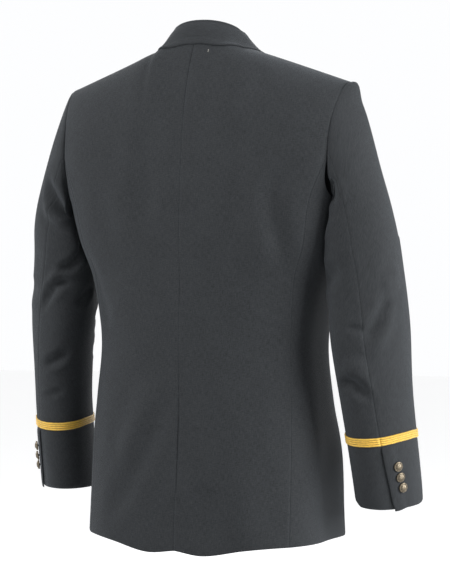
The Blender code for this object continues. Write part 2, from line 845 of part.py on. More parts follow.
def button_mesh(name, radius):
    """A domed button with a rim, turned with its shank about +Z; z = 0 is the cloth."""
    rim = 0.0009
    profile = (
        (0.0, 0.0062),
        (radius * 0.55, 0.0056),
        (radius * 0.90, 0.0040),
        (radius, 0.0032),
        (radius, 0.0032 - rim),
        (radius * 0.24, 0.0032 - rim),
        (radius * 0.24, REST_GAP),
        (0.0, REST_GAP),
    )
    mesh = bpy.data.meshes.new(name)
    shape = bmesh.new()
    verts = [shape.verts.new((out, 0.0, height)) for out, height in profile]
    edges = [shape.edges.new(pair) for pair in zip(verts, verts[1:])]
    bmesh.ops.spin(shape, geom=verts + edges, axis=(0, 0, 1), cent=(0, 0, 0),
                   angle=math.tau, steps=12, use_merge=True)
    bmesh.ops.remove_doubles(shape, verts=shape.verts, dist=1e-6)
    bmesh.ops.recalc_face_normals(shape, faces=shape.faces)
    shape.to_mesh(mesh)
    shape.free()
    return mesh


def place_button(name, mesh, at, outward, material, collection):
    button = add_object(name, mesh, material, collection)
    turn = outward.to_track_quat("Z", "Y").to_matrix().to_4x4()
    button.matrix_world = Matrix.Translation(at) @ turn
    return button


def build_body(cloth, collection):
    both_sides("back", back_rows(), True, cloth, collection)
    both_sides("side", side_rows(), True, cloth, collection)
    cloth_piece("front_left", front_rows(1), cloth, collection, flip=True)
    under = [[mirrored(point) for point in row] for row in front_rows(-1)]
    cloth_piece("front_right", under, cloth, collection, flip=False)


def build_lapels_and_collar(cloth, collection):
    cloth_piece("lapel_left", lapel_rows(1), cloth, collection, LAPEL_CLOTH, 0.0, flip=False)
    under = [[mirrored(point) for point in row] for row in lapel_rows(-1)]
    cloth_piece("lapel_right", under, cloth, collection, LAPEL_CLOTH, 0.0, flip=True)
    cloth_piece("collar", collar_rows(), cloth, collection, LAPEL_CLOTH, 0.0, flip=True)


def build_sleeves(cloth, braid, collection):
    for label, under in (("top", False), ("under", True)):
        both_sides("sleeve_" + label, sleeve_rows(under), True, cloth, collection)
        ridges = [1.0 if row % 2 else BRAID_VALLEY for row in range(BRAID_ROWS)]
        both_sides("braid_" + label, braid_rows(under), True, braid, collection,
                   thick=BRAID_THICK, offset=1.0, shares=ridges)


def build_buttons(metal, collection):
    mesh = button_mesh("front_button", FRONT_BUTTON_RADIUS)
    for i in range(FRONT_BUTTONS):
        level = FRONT_BUTTON_TOP - i * FRONT_BUTTON_STEP
        at = front_at(0.0, level, REST_GAP, 1)
        outward = front_at(0.0, level, 0.01, 1) - at
        place_button(f"front_button_{i + 1}", mesh, at, outward, metal, collection)
    mesh = button_mesh("cuff_button", CUFF_BUTTON_RADIUS)
    for i in range(CUFF_BUTTONS):
        from_hem = CUFF_BUTTON_LOW + i * CUFF_BUTTON_STEP
        along = 2 - from_hem / CUFF_LENGTH
        near = seam_turn_offset(CUFF_BUTTON_IN, along)
        turn = SLEEVE_SEAMS.at("hind", along) - near
        lift = vent_lift(along, near) + REST_GAP
        at = sleeve(turn, along, lift)
        outward = at - sleeve(turn, along, lift - 0.01)
        place_button(f"cuff_button_left_{i + 1}", mesh, at, outward, metal, collection)
        place_button(f"cuff_button_right_{i + 1}", mesh, mirrored(at), mirrored(outward),
                     metal, collection)


def main():
    for old in list(bpy.data.objects):
        bpy.data.objects.remove(old, do_unlink=True)
    collection = bpy.data.collections.new("army_dress_jacket")
    bpy.context.scene.collection.children.link(collection)
    cloth = new_material("dark_wool", (0.020, 0.022, 0.025), 0.85)
    braid = new_material("gold_braid", (0.75, 0.48, 0.08), 0.55)
    metal = new_material("antique_brass", (0.22, 0.17, 0.10), 0.38, 1.0)
    build_body(cloth, collection)
    build_lapels_and_collar(cloth, collection)
    build_sleeves(cloth, braid, collection)
    build_buttons(metal, collection)


main()
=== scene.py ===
"""A man's army dress uniform jacket, hanging hollow as it is worn, dressed on its rigid frame.

Metres, +Z is up, the wearer faces -Y and the wearer's left is +X. The origin is the middle of the neck
opening, level with the side neck points. Every panel is laid out as the tailor cuts it, between its
seams, on the same surfaces as the solids beneath, then given its creases, its sewn edges and its cloth.
"""
import math

import bmesh
import bpy
import numpy as np
from bpy.props import FloatProperty, FloatVectorProperty, PointerProperty
from mathutils import Matrix, Vector, noise


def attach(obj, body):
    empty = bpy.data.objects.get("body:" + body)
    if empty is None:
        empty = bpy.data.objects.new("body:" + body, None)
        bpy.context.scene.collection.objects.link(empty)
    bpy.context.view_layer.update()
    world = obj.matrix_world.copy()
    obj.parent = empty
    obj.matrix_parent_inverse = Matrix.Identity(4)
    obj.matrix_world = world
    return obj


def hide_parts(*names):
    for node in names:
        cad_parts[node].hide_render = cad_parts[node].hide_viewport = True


bl_info = {
    "name": "Dress Uniform Jacket",
    "version": (1, 0, 0),
    "blender": (4, 5, 0),
    "location": "View3D > Sidebar > Jacket",
    "description": "Sews a hollow dress uniform jacket with cuff braid and domed buttons",
    "category": "Add Mesh",
}

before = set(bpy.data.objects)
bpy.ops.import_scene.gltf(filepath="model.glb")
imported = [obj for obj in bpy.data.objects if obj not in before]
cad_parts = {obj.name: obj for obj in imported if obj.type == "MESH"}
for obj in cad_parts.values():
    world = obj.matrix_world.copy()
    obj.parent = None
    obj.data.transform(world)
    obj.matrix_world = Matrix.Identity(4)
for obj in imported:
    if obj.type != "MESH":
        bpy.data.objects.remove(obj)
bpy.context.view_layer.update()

# Neck and shoulders
NECK_HALF = 0.072
NECK_BACK = 0.072
NECK_SIDE = 0.030
NAPE_RISE = 0.014
SHOULDER_HALF = 0.240
SHOULDER_BACK = 0.016
SHOULDER_DROP = 0.057
SHOULDER_CURVE = 1.04
SHOULDER_TIP_FADE = 0.06

# How the chest and the yoke round over to the shoulder seam
CHEST_RISE = 1.7
CHEST_FULLNESS = 1.9
YOKE_RISE = 2.6

# Heights along the body, on the pattern: 0 is the shoulder seam, below the armhole they are true heights
ARM_LEVEL = -0.240
ARMHOLE_LOW = -0.236
SIDE_ROWS_FROM = -0.262
HEM = -0.765
HEM_FADE_FROM = ARM_LEVEL - 0.2
SEAM_PULL_FROM = -0.40
BELOW_RIDGE = -0.002
BREAK_LEVEL = -0.300
GORGE_LEVEL = -0.050

# Front edge, lapel and front buttons
LAP = 0.020
LAP_STEP = 0.0033
LAP_STEP_OUT = 0.060
LAP_STEP_FADE = 0.036
LAP_STEP_RISE = 0.08
GORGE_HALF = 0.064
LAPEL_WIDTH = 0.092
GORGE_SLOPE = math.radians(-39)
NOTCH_SHARE = 0.56
CORNER_RADIUS = 0.045
CORNER_FADE = 0.16
FRONT_BUTTONS = 4
FRONT_BUTTON_STEP = 0.102
FRONT_BUTTON_TOP = BREAK_LEVEL - 0.016
FRONT_BUTTON_RADIUS = 0.0115
FRONT_ROUND = 3.0
REST_GAP = 0.0004
COLLAR_LIFT = 0.0022
NOTCH_LIFT = 0.0006

# Cuffs
BRAID_WIDTH = 0.0127
BRAID_THICK = 0.0012
BRAID_BOTTOM = 0.086
CUFF_BUTTON_RADIUS = 0.0075
CUFF_BUTTON_STEP = 0.0165
CUFF_BUTTON_LOW = 0.034
CUFF_BUTTON_IN = 0.019
CUFF_BUTTONS = 3
VENT_LENGTH = 0.080
VENT_LAP_TURN = 9.0
VENT_LIFT = 0.0024
VENT_TIP = 0.006
VENT_TIP_FROM = 1.85
VENT_TIP_TURN = 22
VENT_FLAT_TURN = 3
VENT_FADE_TURN = 14
VENT_LAP_FADE = 0.04
VENT_LIFT_FADE = 0.01
VENT_SEAM_FADE = 0.02
UNDER_LAP_SHARE = 0.07
UNDER_SUNK = 0.0005
UNDER_SUNK_SHARE = 0.2

# How many parts a path is measured in, and how often a place on the shoulder is halved in on
PATH_PARTS = 40
HALVINGS = 30

# How far to either side a slope along the arm is measured
SLOPE_REACH = 0.01


def eased(share, start, leave, end, arrive):
    """A smooth run from start to end, with the way it leaves the one and arrives at the other."""
    square, cube = share ** 2, share ** 3
    return ((2 * cube - 3 * square + 1) * start
            + (cube - 2 * square + share) * leave
            + (3 * square - 2 * cube) * end
            + (cube - square) * arrive)


class Table:
    """Rows of named values; between the rows a value follows a smooth curve."""

    def __init__(self, columns, *rows):
        self.columns = columns.split()
        self.rows = sorted(rows)

    def at(self, name, key):
        column = self.columns.index(name)
        keys = [row[0] for row in self.rows]
        values = [row[column] for row in self.rows]
        last = len(keys) - 1
        if key <= keys[0]:
            return values[0]
        if key >= keys[last]:
            return values[last]
        row = max(i for i in range(last) if keys[i] <= key)
        span = keys[row + 1] - keys[row]
        share = (key - keys[row]) / span

        def slope(i):
            low, high = max(i - 1, 0), min(i + 1, last)
            return (values[high] - values[low]) / (keys[high] - keys[low])

        return eased(share, values[row], span * slope(row), values[row + 1], span * slope(row + 1))


# The body's level sections; the back's roundness is its own, from 2 for an ellipse to squarer
BODY = Table(
    "level   half_width back_depth back_round front_depth",
    (0.000, 0.250, 0.116, 4.0, 0.130),
    (-0.080, 0.246, 0.116, 4.0, 0.130),
    (-0.160, 0.240, 0.116, 3.8, 0.130),
    (-0.240, 0.226, 0.118, 3.3, 0.130),
    (-0.300, 0.212, 0.117, 3.0, 0.130),
    (-0.355, 0.192, 0.115, 2.6, 0.130),
    (-0.450, 0.179, 0.113, 2.4, 0.133),
    (-0.540, 0.185, 0.114, 2.4, 0.150),
    (-0.600, 0.190, 0.116, 2.4, 0.168),
    (-0.770, 0.194, 0.122, 2.5, 0.200),
)

# How full the upper back stays before it rounds over to the neck and the shoulder seam
YOKE = Table(
    "out    fullness",
    (0.000, 1.0),
    (0.040, 1.4),
    (0.075, 2.8),
    (0.120, 2.3),
    (0.170, 2.0),
    (0.250, 2.0),
)

# Seams of the side body, as turns round the body from the centre back (0) to the centre front (180)
SIDE_SEAMS = Table(
    "level   back_seam front_seam",
    (-0.150, 56.5, 112.0),
    (-0.230, 51.0, 108.0),
    (-0.320, 55.5, 106.0),
    (-0.450, 61.0, 106.0),
    (-0.600, 58.5, 107.0),
    (-0.770, 57.0, 108.0),
)

# The armhole: turn 0 is the shoulder tip, 90 the back, 180 the underarm and 270 the front
ARMHOLE = Table(
    "turn body_turn",
    (0, 67.2),
    (45, 58.5),
    (90, 57.0),
    (135, 66.4),
    (180, 90.0),
    (225, 110.0),
    (270, 129.0),
    (315, 124.0),
    (360, 109.8),
)
BACK_SEAM_TURN = 100.0
FRONT_SEAM_TURN = 236.0

# How far the hem lies below its level at the centre back
HEM_DROP = Table(
    "body_turn drop",
    (0, 0.000),
    (16, 0.005),
    (38, -0.006),
    (57, -0.011),
    (100, -0.012),
    (180, -0.004),
)

# The sleeve's rings, by the height of their middle; the fill pushes their front part forwards
ARM = Table(
    "height  out    back    long   short  turned fill",
    (-0.290, 0.2505, 0.014, 0.0600, 0.0550, 60, 0.030),
    (-0.330, 0.2560, 0.008, 0.0615, 0.0530, 61, 0.027),
    (-0.380, 0.2610, 0.004, 0.0645, 0.0520, 62, 0.016),
    (-0.440, 0.2660, 0.000, 0.0680, 0.0500, 65, 0.003),
    (-0.530, 0.2720, -0.014, 0.0620, 0.0460, 68, 0.000),
    (-0.600, 0.2760, -0.030, 0.0605, 0.0450, 70, 0.000),
    (-0.690, 0.2800, -0.054, 0.0595, 0.0440, 72, 0.000),
)
RING_TOP = -0.290
CUFF = -0.690

# The way the sleeve cap leaves the armhole
CAP_START = Table(
    "turn out   back   up",
    (0, 0.024, 0.000, 0.002),
    (90, 0.030, 0.020, -0.040),
    (180, 0.055, 0.000, -0.030),
    (270, 0.045, -0.020, -0.040),
    (360, 0.024, 0.000, 0.002),
)

# Sleeve seams, as turns round the arm from outwards (0) by the back (90); rows run down the sleeve
SLEEVE_SEAMS = Table(
    "along hind fore",
    (0.0, 106.0, 236.0),
    (1.0, 80.0, 238.0),
    (1.4, 70.0, 240.0),
    (1.8, 62.0, 240.0),
    (2.0, 52.0, 240.0),
)

# How far the braid climbs and each hem drops off square, by the turn round the arm
CUFF_SLANT = Table(
    "turn braid   left    right",
    (0, 0.0102, 0.003, 0.003),
    (30, 0.0142, 0.003, 0.003),
    (60, 0.0158, 0.003, 0.003),
    (90, 0.0171, 0.002, 0.000),
    (110, 0.0175, 0.003, -0.006),
    (130, 0.0176, 0.004, -0.013),
    (150, 0.0172, 0.005, -0.015),
    (170, 0.0165, 0.006, -0.014),
    (200, 0.0110, 0.007, -0.009),
    (240, 0.0050, 0.005, -0.002),
    (290, 0.0015, 0.002, 0.001),
    (330, 0.0034, 0.002, 0.002),
    (360, 0.0102, 0.003, 0.003),
)
CUFF_SLANT_FROM = 1.3
BODY_CLEARANCE = 0.0040
BODY_CLEARANCE_BLEND = 0.0050
BODY_CLEARANCE_FROM = ARMHOLE_LOW + 0.035
BODY_CLEARANCE_FADE = 0.05

# The short way of the sleeve's round, for turning a length across it into a turn
ARM_SHORT_RADIUS = 0.045

# The collar's section at shares of its length from the centre back to the gorge
COLLAR = Table(
    "share stand  inward roll",
    (0.00, 0.0270, 0.0170, 0.0030),
    (0.35, 0.0280, 0.0180, 0.0030),
    (0.55, 0.0260, 0.0165, 0.0028),
    (0.80, 0.0130, 0.0060, 0.0020),
    (1.00, 0.0026, 0.0004, 0.0014),
)
NECK_POINT_SHARE = 0.55

# The collar's outer edge seen from above, as far as its front tip, then along its front edge
COLLAR_EDGE = Table(
    "share out    back",
    (0.00, 0.0000, 0.0768),
    (0.10, 0.0230, 0.0763),
    (0.20, 0.0435, 0.0745),
    (0.26, 0.0540, 0.0726),
    (0.32, 0.0625, 0.0670),
    (0.38, 0.0690, 0.0585),
    (0.46, 0.0770, 0.0440),
    (0.55, 0.0855, 0.0230),
    (0.72, 0.1080, -0.0300),
    (0.84, 0.1255, -0.0600),
)
COLLAR_TIP_SHARE = 0.84

# The lapel's width at shares of the roll line from the break to the gorge
LAPEL = Table(
    "share width",
    (0.00, 0.010),
    (0.15, 0.032),
    (0.40, 0.058),
    (0.70, 0.078),
    (1.00, LAPEL_WIDTH),
)


def mix(low, high, share):
    return low + (high - low) * share


def step(value):
    """0 below 0, 1 above 1 and smooth between."""
    value = min(max(value, 0.0), 1.0)
    return value * value * (3 - 2 * value)


def steps(low, high, count):
    return [mix(low, high, i / count) for i in range(count + 1)]


def ridge(out, front):
    """The shoulder ridge over a distance from the middle: its place from front to back, and height."""
    inside = max(0.0, 1 - (abs(out) / NECK_HALF) ** 2)
    beyond = max(0.0, (abs(out) - NECK_HALF) / (SHOULDER_HALF - NECK_HALF))
    back = mix(NECK_SIDE, SHOULDER_BACK, min(beyond, 1.0))
    height = NAPE_RISE * inside - SHOULDER_DROP * beyond ** SHOULDER_CURVE
    if front:
        return back, min(height, 0.0)
    return back + (NECK_BACK - NECK_SIDE) * math.sqrt(inside), height


def roundness_at(level, front):
    return FRONT_ROUND if front else BODY.at("back_round", level)


def body_at(share, level, front):
    """A point of the body, at a share of its half-width, on the back or the front."""
    roundness = roundness_at(level, front)
    depth_name = "front_depth" if front else "back_depth"
    bulge = max(0.0, 1 - abs(share) ** roundness) ** (1 / roundness)
    side = -1 if front else 1
    out = BODY.at("half_width", level) * share
    depth = side * BODY.at(depth_name, level) * bulge
    if level <= ARM_LEVEL:
        return Vector((out, depth, level))
    rise = min(1 - level / ARM_LEVEL, 1.0)
    ridge_back, ridge_height = ridge(out, front)
    if front:
        fullness = (1 - rise ** CHEST_RISE) ** (1 / CHEST_FULLNESS)
    else:
        fullness = (1 - rise ** YOKE_RISE) ** (1 / YOKE.at("fullness", abs(out)))
    return Vector((out, mix(ridge_back, depth, fullness), mix(ARM_LEVEL, ridge_height, rise)))


def across_body(out, level, front):
    """A point of the body, at a distance out from the middle."""
    return body_at(out / BODY.at("half_width", level), level, front)


def share_of(turn, level, front):
    return math.sin(math.radians(turn)) ** (2 / roundness_at(level, front))


def body(turn, level):
    """A point of the body by its turn round it: 0 is the centre back, 90 the side, 180 the front."""
    front = turn > 90
    return body_at(share_of(turn, level, front), level, front)


def normal_of(surface, first, second, reach=0.0008):
    """The direction square to a surface given by two values, whose order decides on which side."""
    along = surface(first + reach, second) - surface(first - reach, second)
    across = surface(first, second + reach) - surface(first, second - reach)
    return along.cross(across).normalized()


def front_at(out, level, lift=0.0, side=0):
    """A point of a front, lifted off it; side is 1 for the front that laps over and -1 for the other."""
    def plain(across, height):
        return across_body(across, height, True)

    outward = normal_of(plain, out, level)
    lapped = (LAP_STEP * step((LAP_STEP_OUT - out) / LAP_STEP_FADE)
              * step((GORGE_LEVEL - level) / LAP_STEP_RISE))
    return plain(out, level) + outward * (lift + side * lapped)


def armhole_level(turn):
    return ARMHOLE_LOW * (1 - math.cos(math.radians(turn))) / 2


def armhole_share(turn):
    """The armhole's share of the half-width; it meets the shoulder tip at turn 0 and 360."""
    front = turn > 180
    level = armhole_level(turn)
    share = share_of(ARMHOLE.at("body_turn", turn), level, front)
    tip = SHOULDER_HALF / BODY.at("half_width", 0)
    table_tip = share_of(ARMHOLE.at("body_turn", 360 if front else 0), 0, front)
    near_tip = step(1 + level / SHOULDER_TIP_FADE)
    return share + (tip - table_tip) * near_tip


def armhole(turn):
    return body_at(armhole_share(turn), armhole_level(turn), turn > 180)


def spread(path, shares):
    """Points of a path (given from 0 to 1) at shares of its length."""
    fine = [path(i / PATH_PARTS) for i in range(PATH_PARTS + 1)]
    lengths = [0.0]
    for before, after in zip(fine, fine[1:]):
        lengths.append(lengths[-1] + (after - before).length)
    points = []
    for share in shares:
        wanted = share * lengths[-1]
        i = max(k for k in range(PATH_PARTS) if lengths[k] <= wanted + 1e-9)
        inside = (wanted - lengths[i]) / (lengths[i + 1] - lengths[i])
        points.append(path((i + inside) / PATH_PARTS))
    return points


def hem_drop(turn, level):
    """The hem's own drop, faded out over the lowest part of the skirt."""
    return -HEM_DROP.at("drop", turn) * step((HEM_FADE_FROM - level) / (HEM_FADE_FROM - HEM))


def side_share(name, level):
    return share_of(side_seam(name, level), level, name == "front_seam")


def side_seam(name, level):
    """A side body seam's turn, which meets the armhole where that seam joins it."""
    joint = BACK_SEAM_TURN if name == "back_seam" else FRONT_SEAM_TURN
    joint_level = armhole_level(joint)
    pull = step((level - SEAM_PULL_FROM) / (joint_level - SEAM_PULL_FROM))
    return SIDE_SEAMS.at(name, level) + pull * (
        ARMHOLE.at("body_turn", joint) - SIDE_SEAMS.at(name, joint_level))


def front_edge(level):
    """How far out the front's free edge, roll line or neck edge lies."""
    if level <= BREAK_LEVEL:
        return -LAP
    if level <= GORGE_LEVEL:
        return mix(-LAP, GORGE_HALF, (level - BREAK_LEVEL) / (GORGE_LEVEL - BREAK_LEVEL))
    return mix(GORGE_HALF, NECK_HALF, (level - GORGE_LEVEL) / -GORGE_LEVEL)


def arm_middle(height):
    return Vector((ARM.at("out", height), ARM.at("back", height), height))


def arm_ring(turn, height):
    """A point of the lower sleeve, on a ring square to the arm."""
    middle = arm_middle(height)
    lean = (arm_middle(height + SLOPE_REACH) - arm_middle(height - SLOPE_REACH)) / (2 * SLOPE_REACH)
    turned = math.radians(ARM.at("turned", height))
    angle = math.radians(turn) + turned
    long_part = ARM.at("long", height) * math.cos(angle)
    short_part = ARM.at("short", height) * math.sin(angle)
    out = long_part * math.cos(turned) + short_part * math.sin(turned)
    back = -long_part * math.sin(turned) + short_part * math.cos(turned)
    back -= ARM.at("fill", height) * max(0.0, -math.sin(math.radians(turn))) ** 4
    return middle + Vector((out, back, -lean.x * out - lean.y * back))


def clear_of_body(point):
    """The point moved out, where it has to be, until the sleeve clears the body under the arm."""
    front = point.y < 0
    roundness = roundness_at(point.z, front)
    depth = BODY.at("front_depth" if front else "back_depth", point.z)
    inside = max(0.0, 1 - (abs(point.y) / depth) ** roundness) ** (1 / roundness)
    near = BODY.at("half_width", point.z) * inside + BODY_CLEARANCE
    excess = (point.x - near) / BODY_CLEARANCE_BLEND
    # far outside, where the point stays and the exponential would overflow
    if excess > 20:
        return point
    kept = near + BODY_CLEARANCE_BLEND * math.log1p(math.exp(excess))
    weight = step((BODY_CLEARANCE_FROM - point.z) / BODY_CLEARANCE_FADE)
    return Vector((mix(point.x, kept, weight), point.y, point.z))


def sleeve_height(along):
    return mix(RING_TOP, CUFF, along - 1)


def sleeve_base(turn, along):
    """A point of the sleeve before its folds: along is 0 at the armhole, 1 at the biceps, 2 at the hem."""
    turn %= 360
    if along >= 1:
        return clear_of_body(arm_ring(turn, sleeve_height(along)))
    start = armhole(turn)
    end = arm_ring(turn, RING_TOP)
    fall = start.z - end.z
    leave = Vector([CAP_START.at(name, turn) for name in ("out", "back", "up")])
    down = arm_ring(turn, RING_TOP - SLOPE_REACH) - arm_ring(turn, RING_TOP + SLOPE_REACH)
    arrive = down / (2 * SLOPE_REACH) * fall
    point = eased(along, start, leave, end, arrive)
    return point.lerp(clear_of_body(point), step(along * 2))


CUFF_LENGTH = RING_TOP - CUFF
BRAID_TOP_ALONG = 2 - (BRAID_BOTTOM + BRAID_WIDTH) / CUFF_LENGTH
BRAID_LOW_ALONG = 2 - BRAID_BOTTOM / CUFF_LENGTH
VENT_ALONG = 2 - VENT_LENGTH / CUFF_LENGTH


def sleeve_turn(along, share, under):
    """The turn at a share of the way across the top or the under sleeve."""
    hind = SLEEVE_SEAMS.at("hind", along)
    fore = SLEEVE_SEAMS.at("fore", along)
    if under:
        return mix(hind, fore, share)
    return mix(fore - 360, hind, share)


def cuff_along(turn, along, side):
    """Where a row of the sleeve lies at a turn: towards the cuff it slants with the braid and the hem."""
    begun = step((along - CUFF_SLANT_FROM) / (BRAID_TOP_ALONG - CUFF_SLANT_FROM))
    climb = CUFF_SLANT.at("braid", turn % 360) * begun
    below = max(0.0, (along - BRAID_LOW_ALONG) / (2 - BRAID_LOW_ALONG))
    return along - mix(climb, -CUFF_SLANT.at(side, turn % 360), below) / CUFF_LENGTH


def turn_across(length, along):
    """The turn that a length across the sleeve spans, from the biceps down."""
    radius = (ARM.at("long", sleeve_height(along)) + ARM_SHORT_RADIUS) / 2
    return math.degrees(length / radius)


def vent_share(along):
    """0 above the vent and 1 in it."""
    return step((along - VENT_ALONG) / VENT_LAP_FADE)


def vent_lift(along, near):
    """How far the top sleeve stands off over the vent's lap; near is the turn from its hind edge."""
    opened = step((along - VENT_ALONG) / VENT_LIFT_FADE + 1)
    return VENT_LIFT * opened * (1 - step((near - VENT_LAP_TURN - VENT_FLAT_TURN) / VENT_FADE_TURN))


def over_shoulder(out, back, lift):
    """A point above the yoke given from above: out and back, lifted off the cloth."""
    front = back < ridge(out, True)[0]
    low, high = ARM_LEVEL, 0.0
    for _ in range(HALVINGS):
        level = (low + high) / 2
        place = across_body(out, level, front).y
        if (place < back) == front:
            low = level
        else:
            high = level

    def surface(across, height):
        return across_body(across, height, front)

    outward = normal_of(surface, out, min(level, BELOW_RIDGE))
    if outward.z < 0:
        outward = -outward
    return surface(out, level) + outward * lift


def kept_off(point, least):
    """The point, moved out where it has to be, until it lies a distance off the body's cloth."""
    front = point.y < ridge(point.x, True)[0]
    ridge_height = ridge(point.x, front)[1]
    if point.z >= ridge_height:
        return point

    def surface(across, height):
        return across_body(across, height, front)

    level = ARM_LEVEL * (ridge_height - point.z) / (ridge_height - ARM_LEVEL)
    outward = normal_of(surface, point.x, min(level, BELOW_RIDGE)) * (1 if front else -1)
    height = (point - surface(point.x, level)).dot(outward)
    return point + outward * max(0.0, least - height)


def neck_seam(share):
    """The neck seam: across the back neck to the neck point, then down the front to the gorge."""
    if share <= NECK_POINT_SHARE:
        out = NECK_HALF * math.sin(share / NECK_POINT_SHARE * math.pi / 2)
        back, height = ridge(out, False)
        return Vector((out, back, height))
    down = (share - NECK_POINT_SHARE) / (1 - NECK_POINT_SHARE)
    level = GORGE_LEVEL * down
    return front_at(front_edge(level), level)


def collar_edge(share):
    """The collar's outer edge, then its front edge from the tip to the notch."""
    lift = COLLAR_LIFT
    if share <= COLLAR_TIP_SHARE:
        return over_shoulder(COLLAR_EDGE.at("out", share), COLLAR_EDGE.at("back", share), lift)
    reach = LAPEL_WIDTH * NOTCH_SHARE
    notch = front_at(GORGE_HALF + reach * math.cos(GORGE_SLOPE),
                     GORGE_LEVEL + reach * math.sin(GORGE_SLOPE), lift + NOTCH_LIFT)
    tip = collar_edge(COLLAR_TIP_SHARE)
    return tip.lerp(notch, (share - COLLAR_TIP_SHARE) / (1 - COLLAR_TIP_SHARE))


EDGE_STEPS = (0.0, 0.004, 0.010, 0.020)
INNER_FROM = EDGE_STEPS[-1] + 0.012


def fine_steps(count):
    """Shares across a panel, closer together at its sewn edges."""
    inner = steps(INNER_FROM, 1 - INNER_FROM, count)
    return list(EDGE_STEPS) + inner + [1 - share for share in EDGE_STEPS[::-1]]


def as_grid(rows):
    return np.array([[tuple(point) for point in row] for row in rows])


def outward_normals(points, middle):
    """Unit normals of a grid of points, on the side away from a line up through the middle."""
    normals = np.cross(np.gradient(points, axis=1), np.gradient(points, axis=0))
    normals /= np.maximum(np.linalg.norm(normals, axis=2, keepdims=True), 1e-12)
    away = points - np.array(middle)
    away[:, :, 2] = 0.0
    return normals if (away * normals).sum() > 0 else -normals


def run_lengths(points, axis):
    """The distance run along rows (axis 1) or columns (axis 0) to each point."""
    gaps = np.linalg.norm(np.diff(points, axis=axis), axis=2)
    run = np.cumsum(gaps, axis=axis)
    start = np.zeros((run.shape[0], 1)) if axis == 1 else np.zeros((1, run.shape[1]))
    return np.concatenate([start, run], axis=axis)


def smooth(values):
    values = np.clip(values, 0.0, 1.0)
    return values * values * (3 - 2 * values)


# A crease's shape: how soon it deepens from its ends, its depth and width there, and the welt of cloth
# beside it, by its height, its distance off and its width, against the depth and half-width of the crease
CREASE_PARTS = 7
CREASE_DEEPENS = 3.2
CREASE_END_DEPTH = 0.12
CREASE_END_WIDTH = 0.65
WELT_HEIGHT = 0.28
WELT_OFF = 1.9
WELT_WIDTH = 0.8

RUMPLE_STRETCH = 0.55
ALLOWANCE_WIDTH = 0.008
ALLOWANCE_FADE = 0.003
FOLDED_EDGE_DEPTH = 0.0006
FOLDED_EDGE_WIDTH = 0.0012


def crease_line(place, path):
    """Points along a crease that is named by two values at each of its stations."""
    stations = Table("station first second", *[(i, *pair) for i, pair in enumerate(path)])
    last = len(path) - 1
    return [place(stations.at("first", at), stations.at("second", at))
            for at in steps(0, last, CREASE_PARTS * last)]


def creased(points, line, deep, wide):
    """How deep one crease presses the cloth in: a trough with a soft welt beside it, faded at its ends."""
    line = np.array([tuple(point) for point in line])
    nearest = np.full(points.shape[:2], 1e9)
    way = np.zeros(points.shape[:2])
    count = len(line) - 1
    for i in range(count):
        run = line[i + 1] - line[i]
        share = ((points - line[i]) @ run) / max(run @ run, 1e-12)
        clipped = np.clip(share, 0.0, 1.0)
        away = np.linalg.norm(points - line[i] - clipped[:, :, None] * run, axis=2)
        closer = away < nearest
        nearest = np.where(closer, away, nearest)
        way = np.where(closer, (i + clipped) / count, way)
    ends = smooth(np.minimum(way, 1 - way) * CREASE_DEEPENS + CREASE_END_DEPTH)
    off = nearest / (wide * mix(CREASE_END_WIDTH, 1.0, ends))
    welt = WELT_HEIGHT * np.exp(-((off - WELT_OFF) / WELT_WIDTH) ** 2)
    return deep * ends * (np.exp(-off ** 2) - welt)


def rumpled(points, size, seed):
    """A slow unevenness of hanging cloth, from -1 to 1."""
    flat = points.reshape(-1, 3)
    values = [noise.noise(Vector((x, y, z * RUMPLE_STRETCH)) / size + Vector((seed, 0, 0)))
              for x, y, z in flat]
    return np.array(values).reshape(points.shape[:2])


def sewn_edges(points, seams):
    """How deep the cloth turns in at its seams, and the ease over the allowance pressed open beneath.

    seams are the shares of the seam's depth at the first and last column and the first and last row,
    with None where the piece runs on without an edge.
    """
    across = run_lengths(points, 1)
    along = run_lengths(points, 0)
    edges = (across, across[:, -1:] - across, along, along[-1:, :] - along)
    look = bpy.context.scene.jacket_cloth
    depth = np.zeros(points.shape[:2])
    for share, off in zip(seams, edges):
        if share is None:
            continue
        depth += share * look.seam_depth * np.exp(-(off / look.seam_width) ** 2)
        pressed_open = 1 - smooth((off - ALLOWANCE_WIDTH) / ALLOWANCE_FADE)
        depth -= np.minimum(share, 1.0) * look.allowance_lift * pressed_open
        # an unsewn edge is folded and rounds over
        rounded = np.exp(-(off / FOLDED_EDGE_WIDTH) ** 2)
        depth += (1 - np.clip(share, 0, 1)) * FOLDED_EDGE_DEPTH * rounded
    return depth


UNSEWN = (0.0, 0.0, 0.0, 0.0)


def tucked(surface, seams):
    """Runs each sewn edge a little past its seam, so that it tucks in behind its neighbour."""
    tuck = bpy.context.scene.jacket_cloth.seam_tuck
    views = (surface, surface[:, ::-1], surface.transpose(1, 0, 2), surface[::-1].transpose(1, 0, 2))
    for share, view in zip(seams, views):
        run = view[:, 0] - view[:, 1]
        run /= np.maximum(np.linalg.norm(run, axis=1, keepdims=True), 1e-9)
        view[:, 0] += run * tuck * share
    return surface


